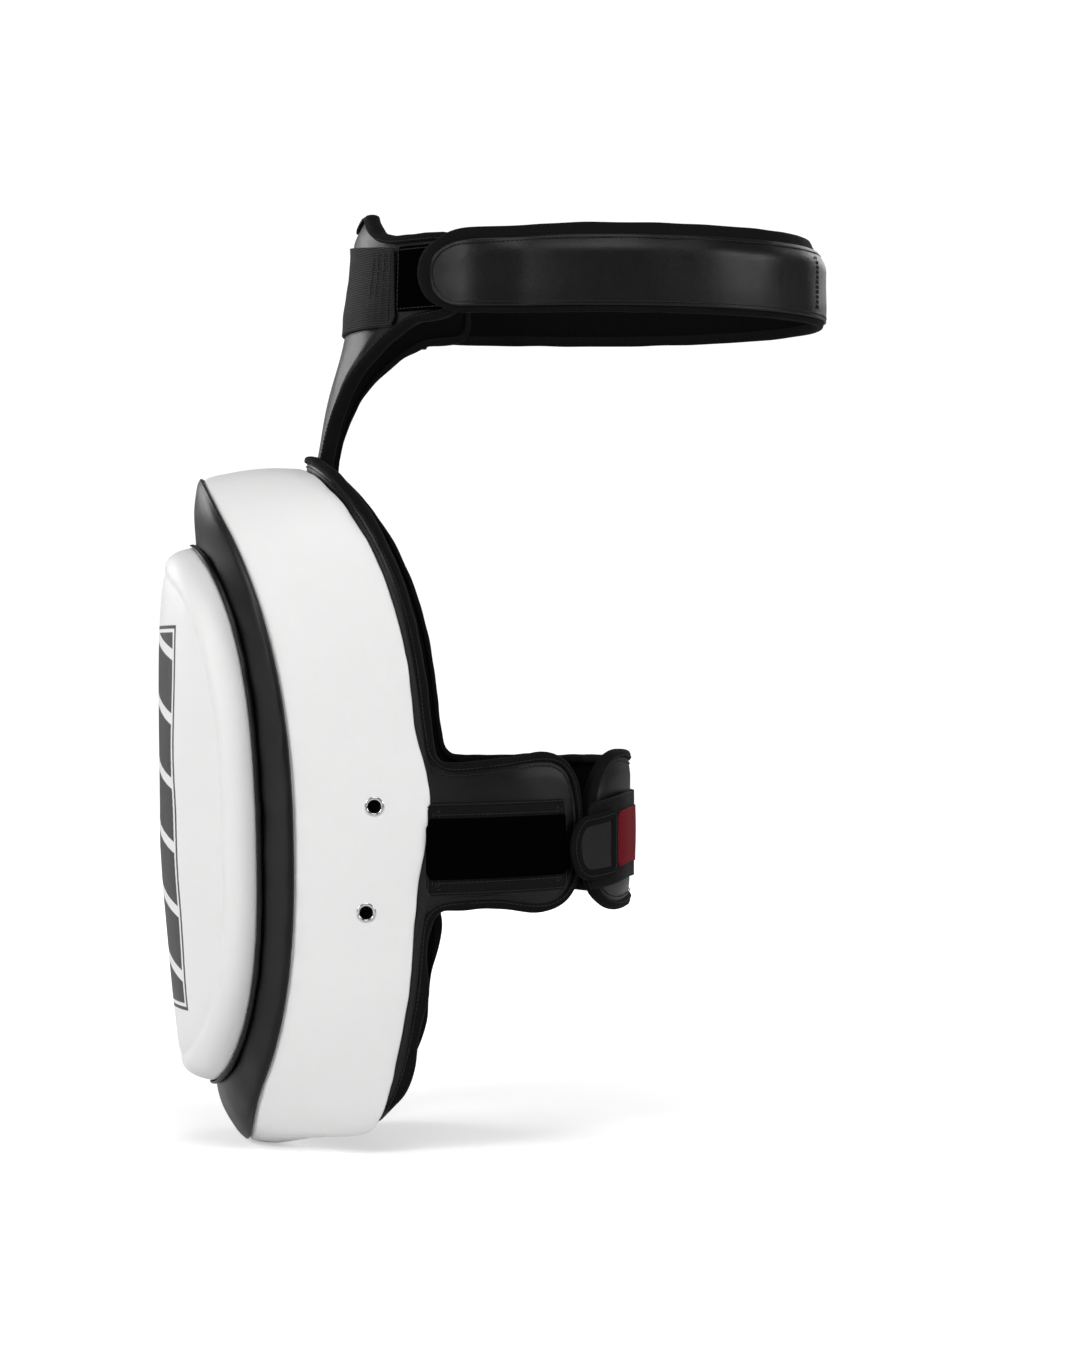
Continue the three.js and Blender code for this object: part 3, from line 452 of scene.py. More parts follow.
def inflate(piece: bpy.types.Object, pins: Array, pressure: float, cap: float) -> None:
    """Lets a padded cover swell as cloth does, and keeps the result in its mesh.

    Args:
        piece: A closed mesh.
        pins: How firmly each point is held, from 0 to 1.
        pressure: The push of the filling.
        cap: The furthest that a point may move.
    """
    group = piece.vertex_groups.new(name="held")
    for level in range(1, 11):
        at_level = np.flatnonzero(np.round(pins * 10).astype(int) == level)
        if len(at_level):
            group.add(at_level.tolist(), level / 10, "REPLACE")
    cloth = piece.modifiers.new("cover", "CLOTH")
    cloth.settings.vertex_group_mass = group.name
    cloth.settings.quality = 6
    cloth.settings.mass = 0.35
    cloth.settings.tension_stiffness = cloth.settings.compression_stiffness = 18
    cloth.settings.bending_stiffness = 1.5
    cloth.settings.use_pressure = True
    cloth.settings.uniform_pressure_force = pressure
    cloth.settings.effector_weights.gravity = 0.0
    scene = bpy.context.scene
    rest = mesh_points(piece.data)
    for number in range(1, 21):
        scene.frame_set(number)
    evaluated = piece.evaluated_get(bpy.context.evaluated_depsgraph_get())
    swollen = mesh_points(evaluated.data)
    scene.frame_set(1)
    piece.modifiers.remove(cloth)
    moved = swollen - rest
    length = np.linalg.norm(moved, axis=1, keepdims=True)
    moved *= np.minimum(1.0, cap / np.maximum(length, 1e-9))
    piece.data.vertices.foreach_set("co", (rest + moved).astype(np.float32).ravel())
    piece.data.update()
    piece.vertex_groups.clear()


def mesh_points(mesh: bpy.types.Mesh) -> Array:
    """The points of a mesh, one row each."""
    points = np.zeros(len(mesh.vertices) * 3, np.float32)
    mesh.vertices.foreach_get("co", points)
    return points.reshape(-1, 3).astype(float)


def dress(piece: bpy.types.Object, material: bpy.types.Material, slot: str, *nodes: str) -> bpy.types.Object:
    """Gives a piece its material and its body, and hides the imported nodes that it stands for."""
    piece.data.materials.clear()
    piece.data.materials.append(material)
    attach(piece, "root")
    if nodes:
        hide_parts(*nodes)
    LOG.info("built %s with %d faces", piece.name, len(piece.data.polygons))
    return piece


def line_inside(piece: bpy.types.Object, lining: bpy.types.Material, axis_x: float) -> None:
    """Gives the faces that look at an upright axis a lining."""
    piece.data.materials.append(lining)
    for face in piece.data.polygons:
        outwards = Vector((face.center.x - axis_x, face.center.y, 0.0))
        if face.normal.dot(outwards.normalized()) < -0.25:
            face.material_index = 1


# Panels, tapes and stitches on a curved surface


@dataclass
class Outline:
    """A closed outline on a curved surface, as angles and heights."""

    surface: Surface
    scale: Callable[[Array], Array]
    line: Array
    step: float = 0.0032
    passes: int = 6

    def __post_init__(self) -> None:
        """Spaces the line evenly and eases its corners."""
        scale = float(np.mean(self.scale(self.line[:, 0])))
        flat = self.line * np.array([scale, 1.0])
        even = rounded(resampled(flat, self.step, closed=True), self.passes)
        self.line = even / np.array([scale, 1.0])

    def along(self) -> Array:
        """The unit direction at each point, in metres along the surface."""
        ahead, behind = np.roll(self.line, -1, axis=0), np.roll(self.line, 1, axis=0)
        run = (ahead - behind) * np.column_stack([self.scale(self.line[:, 0]), np.ones(len(self.line))])
        return run / np.linalg.norm(run, axis=1, keepdims=True)

    def moved(self, reach: Array | float) -> Array:
        """The outline moved outwards by a distance."""
        along = self.along()
        reach = np.broadcast_to(np.asarray(reach, float), (len(self.line),))
        angle = self.line[:, 0] + along[:, 1] * reach / self.scale(self.line[:, 0])
        return np.column_stack([angle, self.line[:, 1] - along[:, 0] * reach])

    def grown(self, reach: float) -> Outline:
        """A larger outline on the same surface."""
        return Outline(self.surface, self.scale, self.moved(reach), self.step, passes=1)

    def edges(self) -> tuple[Array, Array]:
        """The lower and the upper edge, each sorted by angle."""
        first, last = int(np.argmin(self.line[:, 0])), int(np.argmax(self.line[:, 0]))
        turned = np.roll(self.line, -first, axis=0)
        split = (last - first) % len(self.line)
        lower, upper = turned[: split + 1], np.vstack([turned[split:], turned[:1]])[::-1]
        if lower[:, 1].mean() > upper[:, 1].mean():
            lower, upper = upper, lower
        return lower, upper


def closed_line(upper: Array, lower: Array) -> Array:
    """Runs along the lower edge and back along the upper one."""
    return np.vstack([lower, upper[::-1]])


@dataclass
class BoundPanel:
    """A padded panel of two layers whose edge goes into a folded tape."""

    outline: Outline
    inner_lift: float
    outer_lift: float
    rows: int = 28
    column_step: float = 0.0035
    edge_pinch: float = 0.0
    unevenness: float = 0.0003
    wavelength: float = 0.05
    seed: int = 1

    def build(self, name: str) -> bpy.types.Object:
        """A closed mesh of the panel, with a cloth map on both sides."""
        lower, upper = self.outline.edges()
        start, end = self.outline.line[:, 0].min(), self.outline.line[:, 0].max()
        scale = float(np.mean(self.outline.scale(self.outline.line[:, 0])))
        columns = max(12, int((end - start) * scale / self.column_step))
        angle = np.linspace(start, end, columns)
        low = np.interp(angle, np.maximum.accumulate(lower[:, 0]), lower[:, 1])
        high = np.interp(angle, np.maximum.accumulate(upper[:, 0]), upper[:, 1])
        share = np.linspace(0.0, 1.0, self.rows + 1)
        share = mixed(share, 0.5 - 0.5 * np.cos(share * math.pi), 0.55)
        z = low[:, None] + (high - low)[:, None] * share[None]
        wide = np.broadcast_to(angle[:, None], z.shape)
        middle = (self.inner_lift + self.outer_lift) / 2
        half = (self.outer_lift - self.inner_lift) / 2
        to_edge = np.minimum(z - low[:, None], high[:, None] - z)
        to_end = np.minimum(angle - start, end - angle)[:, None] * scale
        pinch = self.edge_pinch * (1 - eased(np.minimum(to_edge, to_end), 0.0, 0.012))
        flat = self.outline.surface(wide, z, np.zeros_like(z))
        bumps = self.unevenness * ripple(flat, self.wavelength, self.seed)
        inner = self.outline.surface(wide, z, middle - half + pinch)
        outer = self.outline.surface(wide, z, middle + half - pinch + bumps)
        cloth = np.stack([wide * scale, z], axis=-1)
        sections = np.concatenate([inner, outer[:, ::-1]], axis=1)
        return swept(name, sections, closed=False, uv=np.concatenate([cloth, cloth[:, ::-1]], axis=1))


@dataclass
class FoldedTape:
    """A tape folded over the edge of a panel and sewn through it."""

    outline: Outline
    width: float
    inner_lift: float
    outer_lift: float
    lap: float = 0.0015
    looseness: float = 0.00035
    seed: int = 1
    shares: Array | float = 1.0
    # The tape's section: how far out, and how high over the middle of the panel.
    section: tuple[tuple[float, float], ...] = (
        (0.0, 0.86), (0.06, 1.0), (0.3, 1.03), (0.6, 1.0), (0.82, 0.86), (0.94, 0.58), (1.0, 0.2),
        (1.0, -0.2), (0.94, -0.58), (0.82, -0.86), (0.6, -1.0), (0.3, -1.03), (0.06, -1.0), (0.0, -0.86),
    )

    def build(self, name: str) -> bpy.types.Object:
        """A closed mesh of the folded tape."""
        middle = (self.inner_lift + self.outer_lift) / 2
        half = (self.outer_lift - self.inner_lift) / 2
        flat = self.outline.line
        line = self.outline.surface(flat[:, 0], flat[:, 1], np.zeros(len(flat)))
        wave = ripple(line, 0.022, self.seed)
        swell = ripple(line, 0.012, self.seed + 9)
        length = np.concatenate([[0.0], np.cumsum(np.linalg.norm(np.diff(line, axis=0), axis=1))])
        sections, cloth = [], []
        for out, rise in self.section:
            reach = mixed(-self.lap, self.width * self.shares + self.looseness * wave, out)
            moved = self.outline.moved(reach)
            lift = middle + rise * half * (1 + 0.05 * swell)
            sections.append(self.outline.surface(moved[:, 0], moved[:, 1], lift))
            cloth.append(np.column_stack([length, np.full(len(length), out * self.width + rise * half)]))
        return swept(name, np.stack(sections, axis=1), closed=True, uv=np.stack(cloth, axis=1))


@dataclass
class Stitching:
    """Rows of short stitches of one thread, sunk a little into the cloth."""

    thread: float = 0.00035
    length: float = 0.0028
    gap: float = 0.0013
    sides: int = 6
    # Along a stitch: the place, the share of its thickness, and how far it sinks.
    profile: tuple[tuple[float, float, float], ...] = (
        (-0.5, 0.35, 0.9), (-0.36, 0.9, 0.1), (0.0, 1.0, 0.0), (0.36, 0.9, 0.1), (0.5, 0.35, 0.9),
    )
    parts: list[Array] = field(default_factory=list)

    def shape(self) -> Array:
        """The rings of one stitch lying along X."""
        turns = np.linspace(0, 2 * math.pi, self.sides, endpoint=False)
        rings = []
        for along, thick, sunk in self.profile:
            ring = np.column_stack([
                np.full(self.sides, along * self.length),
                np.cos(turns) * thick * self.thread,
                np.sin(turns) * thick * self.thread - sunk * self.thread,
            ])
            rings.append(ring)
        return np.vstack(rings)

    def sew(self, surface: Surface, line: Array, lift: float, closed: bool = False) -> None:
        """Adds a row of stitches along a line of angles and heights.

        Args:
            surface: The surface that the thread lies on.
            line: Angles and heights along the row.
            lift: The height of the cloth's face over the surface.
            closed: Whether the row runs back to its start.
        """
        on = surface(line[:, 0], line[:, 1], np.full(len(line), lift))
        over = surface(line[:, 0], line[:, 1], np.full(len(line), lift + 0.001))
        both = resampled(np.hstack([on, over]), self.length + self.gap, closed)
        on, up = both[:, :3], both[:, 3:] - both[:, :3]
        up /= np.linalg.norm(up, axis=1, keepdims=True)
        along = np.roll(on, -1, axis=0) - np.roll(on, 1, axis=0)
        if not closed:
            on, up, along = on[1:-1], up[1:-1], along[1:-1]
        along -= up * np.sum(along * up, axis=1, keepdims=True)
        along /= np.linalg.norm(along, axis=1, keepdims=True)
        across = np.cross(up, along)
        shape = self.shape()
        placed = (
            on[:, None]
            + along[:, None] * shape[None, :, 0:1]
            + across[:, None] * shape[None, :, 1:2]
            + up[:, None] * shape[None, :, 2:3]
        )
        self.parts.append(placed)

    def build(self, name: str) -> bpy.types.Object:
        """One mesh of all the stitches."""
        stitches = np.concatenate(self.parts)
        size, faces = stitches.shape[1], []
        one = ring_faces(size // self.sides, self.sides, closed=False)
        one += [tuple(range(self.sides))[::-1], tuple(range(size - self.sides, size))]
        for k in range(len(stitches)):
            faces += [tuple(k * size + i for i in f) for f in one]
        return make_piece(name, stitches.reshape(-1, 3), faces)


def strip_line(start: float, end: float, low: float, high: float) -> Array:
    """A rectangle of angles and heights."""
    return np.array([[start, low], [end, low], [end, high], [start, high]])


# Finishes


class NodeBench:
    """Places and links the nodes of one shader tree."""

    def __init__(self, tree: bpy.types.NodeTree) -> None:
        """Starts on a tree."""
        self.tree = tree

    def add(self, kind: str, inputs: dict | None = None, **settings: object) -> bpy.types.Node:
        """Adds a node.

        Args:
            kind: The node's type name.
            inputs: Values or sockets for its inputs, by name or number.
            settings: Values for its own fields.

        Returns:
            The node.
        """
        node = self.tree.nodes.new(kind)
        for name, value in settings.items():
            setattr(node, name, value)
        for key, value in (inputs or {}).items():
            if isinstance(value, bpy.types.NodeSocket):
                self.tree.links.new(value, node.inputs[key])
            else:
                node.inputs[key].default_value = value
        return node

    def maths(self, operation: str, *values: object) -> bpy.types.NodeSocket:
        """The result of a Math node."""
        node = self.add("ShaderNodeMath", dict(enumerate(values)), operation=operation)
        return node.outputs[0]

    def blended(self, share: object, first: object, second: object) -> bpy.types.NodeSocket:
        """A colour between two others."""
        node = self.add("ShaderNodeMix", {0: share, 6: first, 7: second}, data_type="RGBA")
        return node.outputs[2]


def effect(
    name: str, inputs: tuple[str, ...], outputs: tuple[str, ...], build: Callable
) -> bpy.types.NodeTree:
    """A shader node group with float sockets, built once.

    Args:
        name: The group's name.
        inputs: The names of its inputs.
        outputs: The names of its outputs.
        build: Gets a bench and the group's input node, and returns the output sockets.

    Returns:
        The group.
    """
    if name in bpy.data.node_groups:
        return bpy.data.node_groups[name]
    tree = bpy.data.node_groups.new(name, "ShaderNodeTree")
    for socket in inputs:
        tree.interface.new_socket(socket, in_out="INPUT", socket_type="NodeSocketFloat")
    for socket in outputs:
        tree.interface.new_socket(socket, in_out="OUTPUT", socket_type="NodeSocketFloat")
    bench = NodeBench(tree)
    start, end = tree.nodes.new("NodeGroupInput"), tree.nodes.new("NodeGroupOutput")
    for number, socket in enumerate(build(bench, start)):
        tree.links.new(socket, end.inputs[number])
    return tree


def build_grain(bench: NodeBench, start: bpy.types.Node) -> tuple:
    """Leather grain: pebbles between fine creases, and slow changes over the hide."""
    place = bench.add("ShaderNodeTexCoord").outputs["Object"]
    drift = bench.add("ShaderNodeTexNoise", {"Vector": place, "Scale": 90.0, "Detail": 3.0})
    reach = (0.0022,) * 3
    shift = bench.add("ShaderNodeVectorMath", {0: drift.outputs["Color"], 1: reach}, operation="MULTIPLY")
    bent = bench.add("ShaderNodeVectorMath", {0: place, 1: shift.outputs[0]}, operation="ADD").outputs[0]
    cells = bench.add(
        "ShaderNodeTexVoronoi", {"Vector": bent, "Scale": start.outputs["Scale"]}, feature="DISTANCE_TO_EDGE"
    )
    pebble = bench.maths("MINIMUM", bench.maths("MULTIPLY", cells.outputs["Distance"], 4.0), 1.0)
    fine = bench.add("ShaderNodeTexNoise", {"Vector": place, "Scale": 2600.0, "Detail": 2.0})
    slow = bench.add("ShaderNodeTexNoise", {"Vector": place, "Scale": 14.0, "Detail": 4.0, "Roughness": 0.6})
    height = bench.maths("ADD", pebble, bench.maths("MULTIPLY", fine.outputs["Fac"], 0.35))
    return height, slow.outputs["Fac"], pebble


def build_bar_print(bench: NodeBench, start: bpy.types.Node) -> tuple:
    """Slanting bars between two uprights, inside a thin frame, on the pad's outer side."""
    place = bench.add("ShaderNodeTexCoord").outputs["Object"]
    split = bench.add("ShaderNodeSeparateXYZ", {0: place})
    half, top, bottom, bars, slant = (start.outputs[k] for k in range(5))
    across = bench.maths("ABSOLUTE", split.outputs["Y"])
    ragged = bench.add("ShaderNodeTexNoise", {"Vector": place, "Scale": 1500.0, "Detail": 2.0}).outputs["Fac"]
    wander = bench.maths("MULTIPLY", bench.maths("SUBTRACT", ragged, 0.5), 0.0004)
    to_side = bench.maths("SUBTRACT", half, across)
    to_top = bench.maths("SUBTRACT", top, split.outputs["Z"])
    to_bottom = bench.maths("SUBTRACT", split.outputs["Z"], bottom)
    inside = bench.maths("MINIMUM", to_side, bench.maths("MINIMUM", to_top, to_bottom))
    inside = bench.maths("ADD", inside, wander)

    def past(value: bpy.types.NodeSocket, edge: float) -> bpy.types.NodeSocket:
        """1 where a value is past an edge, with a soft border."""
        ramp = bench.maths("DIVIDE", bench.maths("SUBTRACT", value, edge), 0.0005)
        return bench.maths("MINIMUM", bench.maths("MAXIMUM", ramp, 0.0), 1.0)

    frame_line = bench.maths("SUBTRACT", past(inside, 0.0), past(inside, 0.0022))
    height = bench.maths("SUBTRACT", top, bottom)
    tilt = bench.maths("DIVIDE", slant, 6.0)
    leaning = bench.maths("ADD", to_top, bench.maths("MULTIPLY", split.outputs["Y"], tilt))
    turn = bench.maths("FRACT", bench.maths("MULTIPLY", bench.maths("DIVIDE", leaning, height), bars))
    pitch = bench.maths("DIVIDE", height, bars)
    from_middle = bench.maths("ABSOLUTE", bench.maths("SUBTRACT", turn, 0.5))
    from_gap = bench.maths("MULTIPLY", bench.maths("SUBTRACT", 0.5, from_middle), pitch)
    bar = bench.maths("MULTIPLY", past(inside, 0.0045), past(bench.maths("ADD", from_gap, wander), 0.0034))
    return (bench.maths("MAXIMUM", frame_line, bar),)


def build_weave(bench: NodeBench, start: bpy.types.Node) -> tuple:
    """A plain weave on the cloth map: threads that go over and under each other."""
    place = bench.add("ShaderNodeTexCoord").outputs["UV"]
    split = bench.add("ShaderNodeSeparateXYZ", {0: place})
    turns = bench.maths("DIVIDE", math.pi, start.outputs["Pitch"])
    along = bench.maths("SINE", bench.maths("MULTIPLY", split.outputs["X"], turns))
    across = bench.maths("SINE", bench.maths("MULTIPLY", split.outputs["Y"], turns))
    over = bench.maths("MULTIPLY", along, across)
    threads = bench.maths("ADD", bench.maths("MULTIPLY", over, 0.5), 0.5)
    point = bench.add("ShaderNodeTexCoord").outputs["Object"]
    slub = bench.add("ShaderNodeTexNoise", {"Vector": point, "Scale": 700.0, "Detail": 3.0})
    height = bench.maths("ADD", threads, bench.maths("MULTIPLY", slub.outputs["Fac"], 0.5))
    return height, slub.outputs["Fac"]


def build_ribs(bench: NodeBench, start: bpy.types.Node) -> tuple:
    """Ribs that run along a knitted band, crossed by fine yarns, and a colour share that paints shade into the
    grooves between the ribs.
    """
    place = bench.add("ShaderNodeTexCoord").outputs["UV"]
    split = bench.add("ShaderNodeSeparateXYZ", {0: place})
    turns = bench.maths("DIVIDE", 2 * math.pi, start.outputs["Pitch"])
    rib = bench.maths("SINE", bench.maths("MULTIPLY", split.outputs["Y"], turns))
    finer = bench.maths("MULTIPLY", turns, 1.7)
    yarn = bench.maths("SINE", bench.maths("MULTIPLY", split.outputs["X"], finer))
    height = bench.maths("ADD", rib, bench.maths("MULTIPLY", yarn, 0.4))
    # The second output is painted shade: it follows the rib relief, darker in the grooves and lighter on the
    # crests.
    return height, bench.maths("ADD", bench.maths("MULTIPLY", rib, 0.5), 0.5)


def build_pile(bench: NodeBench, start: bpy.types.Node) -> tuple:
    """Tangled loops of a hook and loop pile."""
    place = bench.add("ShaderNodeTexCoord").outputs["Object"]
    loops = bench.add("ShaderNodeTexVoronoi", {"Vector": place, "Scale": start.outputs["Scale"]})
    tangle = bench.add(
        "ShaderNodeTexNoise", {"Vector": place, "Scale": 1400.0, "Detail": 4.0, "Distortion": 1.2}
    )
    height = bench.maths("ADD", loops.outputs["Distance"], tangle.outputs["Fac"])
    slow = bench.add("ShaderNodeTexNoise", {"Vector": place, "Scale": 60.0, "Detail": 3.0})
    return height, slow.outputs["Fac"]


Colour = tuple[float, float, float]


@dataclass(frozen=True)
class Finish:
    """What every finish has: a name, a colour and a roughness."""

    name: str
    colour: Colour
    roughness: float
    mottle: float = 0.12
    depth: float = 0.00006
    specular: float = 0.5

    def tint(self, factor: float) -> tuple[float, float, float, float]:
        """The colour made darker or lighter."""
        return (*(min(1.0, c * factor) for c in self.colour), 1.0)

    def shader(self, bench: NodeBench) -> bpy.types.Node:
        """The shader, with its constants set on its own sockets."""
        inputs = {"Roughness": self.roughness, "Specular IOR Level": self.specular}
        return bench.add("ShaderNodeBsdfPrincipled", inputs)

    def surface(self, bench: NodeBench, shader: bpy.types.Node) -> None:
        """Links colour, roughness and relief to the shader."""
        raise NotImplementedError

    def material(self) -> bpy.types.Material:
        """The material, built once."""
        name = self.name + "_finish"
        if name in bpy.data.materials:
            return bpy.data.materials[name]
        material = bpy.data.materials.new(name)
        material.use_nodes = True
        material.node_tree.nodes.clear()
        bench = NodeBench(material.node_tree)
        shader = self.shader(bench)
        self.surface(bench, shader)
        bench.add("ShaderNodeOutputMaterial", {"Surface": shader.outputs[0]})
        return material

    def relief(self, bench: NodeBench, shader: bpy.types.Node, height: bpy.types.NodeSocket) -> None:
        """Links a height to the shader's normal."""
        bump = bench.add("ShaderNodeBump", {"Strength": 1.0, "Distance": self.depth, "Height": height})
        bench.tree.links.new(bump.outputs[0], shader.inputs["Normal"])

    def coloured(self, bench: NodeBench, shader: bpy.types.Node, share: bpy.types.NodeSocket) -> None:
        """Links the colour and roughness, varied by a share."""
        light, dark = self.tint(1 + self.mottle), self.tint(1 - self.mottle)
        bench.tree.links.new(bench.blended(share, dark, light), shader.inputs["Base Color"])
        spread = bench.maths("MULTIPLY", bench.maths("SUBTRACT", share, 0.5), -0.25)
        rough = bench.maths("ADD", spread, self.roughness)
        bench.tree.links.new(rough, shader.inputs["Roughness"])


@dataclass(frozen=True)
class Leather(Finish):
    """Coated leather with a pebbled grain."""

    scale: float = 1100.0
    gloss: float = 0.12

    def shader(self, bench: NodeBench) -> bpy.types.Node:
        """A leather coat over the hide."""
        inputs = {
            "Roughness": self.roughness, "Specular IOR Level": self.specular, "Coat Weight": self.gloss,
            "Coat Roughness": 0.3,
        }
        return bench.add("ShaderNodeBsdfPrincipled", inputs)

    def surface(self, bench: NodeBench, shader: bpy.types.Node) -> None:
        """Grain, and slow changes of tone."""
        group = effect("leather_grain", ("Scale",), ("Height", "Slow", "Pebble"), build_grain)
        grain = bench.add("ShaderNodeGroup", node_tree=group)
        grain.inputs["Scale"].default_value = self.scale
        self.coloured(bench, shader, grain.outputs["Slow"])
        self.relief(bench, shader, grain.outputs["Height"])


@dataclass(frozen=True)
class PrintedLeather(Leather):
    """Leather with a plain print: a column of slanting bars inside a thin frame."""

    ink: Colour = (0.035, 0.035, 0.038)
    half_width: float = 0.066
    top_z: float = -0.224
    bottom_z: float = -0.474
    bars: int = 6
    slant: float = 1.9

    def coloured(self, bench: NodeBench, shader: bpy.types.Node, share: bpy.types.NodeSocket) -> None:
        """Links the leather's colour with the print over it."""
        super().coloured(bench, shader, share)
        plain = shader.inputs["Base Color"].links[0].from_socket
        group = effect(
            "bar_print", ("Half Width", "Top", "Bottom", "Bars", "Slant"), ("Mask",), build_bar_print
        )
        values = (self.half_width, self.top_z, self.bottom_z, float(self.bars), self.slant)
        mask = bench.add("ShaderNodeGroup", dict(enumerate(values)), node_tree=group)
        printed = bench.blended(mask.outputs[0], plain, (*self.ink, 1.0))
        bench.tree.links.new(printed, shader.inputs["Base Color"])


@dataclass(frozen=True)
class Woven(Finish):
    """Woven tape, webbing and lining."""

    pitch: float = 0.0007
    sheen: float = 0.15

    def shader(self, bench: NodeBench) -> bpy.types.Node:
        """Cloth with a little sheen."""
        inputs = {
            "Roughness": self.roughness, "Specular IOR Level": self.specular, "Sheen Weight": self.sheen,
            "Sheen Roughness": 0.5,
        }
        return bench.add("ShaderNodeBsdfPrincipled", inputs)

    def surface(self, bench: NodeBench, shader: bpy.types.Node) -> None:
        """Threads over and under."""
        group = effect("plain_weave", ("Pitch",), ("Height", "Slub"), build_weave)
        weave = bench.add("ShaderNodeGroup", node_tree=group)
        weave.inputs["Pitch"].default_value = self.pitch
        self.coloured(bench, shader, weave.outputs["Slub"])
        self.relief(bench, shader, weave.outputs["Height"])


@dataclass(frozen=True)
class Ribbed(Woven):
    """Ribbed elastic, with shade painted into the grooves between its ribs."""

    def surface(self, bench: NodeBench, shader: bpy.types.Node) -> None:
        """Ribs along the band, their grooves painted darker and their crests painted lighter."""
        group = effect("elastic_ribs", ("Pitch",), ("Height", "Rib"), build_ribs)
        ribs = bench.add("ShaderNodeGroup", node_tree=group)
        ribs.inputs["Pitch"].default_value = self.pitch
        # The colour follows the ribs: painted shade in the grooves, painted light on the crests.
        self.coloured(bench, shader, ribs.outputs["Rib"])
        self.relief(bench, shader, ribs.outputs["Height"])


@dataclass(frozen=True)
class Pile(Woven):
    """Hook and loop pile."""

    scale: float = 1500.0

    def surface(self, bench: NodeBench, shader: bpy.types.Node) -> None:
        """Tangled loops."""
        group = effect("loop_pile", ("Scale",), ("Height", "Slow"), build_pile)
        pile = bench.add("ShaderNodeGroup", node_tree=group)
        pile.inputs["Scale"].default_value = self.scale
        self.coloured(bench, shader, pile.outputs["Slow"])
        self.relief(bench, shader, pile.outputs["Height"])


@dataclass(frozen=True)
class Metal(Finish):
    """Plated metal with fine rub marks."""

    def shader(self, bench: NodeBench) -> bpy.types.Node:
        """Bare plated metal."""
        return bench.add("ShaderNodeBsdfPrincipled", {"Roughness": self.roughness, "Metallic": 1.0})

    def surface(self, bench: NodeBench, shader: bpy.types.Node) -> None:
        """Rub marks and dull spots."""
        place = bench.add("ShaderNodeTexCoord").outputs["Object"]
        marks = bench.add("ShaderNodeTexNoise", {"Vector": place, "Scale": 900.0, "Detail": 5.0})
        self.coloured(bench, shader, marks.outputs["Fac"])
        self.relief(bench, shader, marks.outputs["Fac"])


WHITE = (0.87, 0.87, 0.866)
WHITE_LEATHER = Leather("white_leather", WHITE, 0.5, 0.015, 0.00004, 0.4, scale=900.0, gloss=0.08)
PRINTED_LEATHER = PrintedLeather(
    "printed_leather", WHITE, 0.5, 0.015, 0.00004, 0.4, scale=900.0, gloss=0.08
)
BLACK_LEATHER = Leather(
    "black_leather", (0.003, 0.003, 0.0031), 0.34, 0.25, 0.00004, 0.26, scale=1300.0, gloss=0.07
)
BELT_LEATHER = Leather(
    "belt_leather", (0.0036, 0.0035, 0.0036), 0.35, 0.25, 0.00004, 0.24, scale=1300.0, gloss=0.06
)
TAPE = Woven("edge_tape", (0.005, 0.005, 0.0054), 0.8, 0.3, 0.00005, 0.06, pitch=0.0008, sheen=0.01)
LINING = Woven("lining", (0.004, 0.004, 0.0043), 0.95, 0.25, 0.00005, 0.02, pitch=0.0006, sheen=0.0)
WEBBING = Woven("webbing", (0.004, 0.004, 0.0044), 0.75, 0.3, 0.00008, 0.1, pitch=0.0011, sheen=0.02)
# For the elastic, the mottle of 0.4 sets how much shade is painted into the grooves between the ribs.
ELASTIC = Ribbed("elastic", (0.014, 0.014, 0.015), 0.8, 0.4, 0.0001, 0.12, pitch=0.0016, sheen=0.04)
LOOP_PILE = Pile("loop_pile", (0.001, 0.001, 0.0011), 1.0, 0.3, 0.0002, 0.0, sheen=0.0)
LABEL = Woven("label", (0.14, 0.004, 0.009), 0.8, 0.25, 0.00005, 0.1, pitch=0.0005, sheen=0.0)
THREAD = Woven("thread", (0.014, 0.014, 0.015), 0.65, 0.2, 0.00003, 0.2, pitch=0.0003, sheen=0.02)
NICKEL = Metal("eyelet_nickel", (0.66, 0.66, 0.67), 0.22, 0.15, 0.00001)
EYELET_DARK = Woven("eyelet_dark", (0.003, 0.003, 0.003), 0.9, 0.2, 0.00005, 0.1, sheen=0.0)


# The kick pad


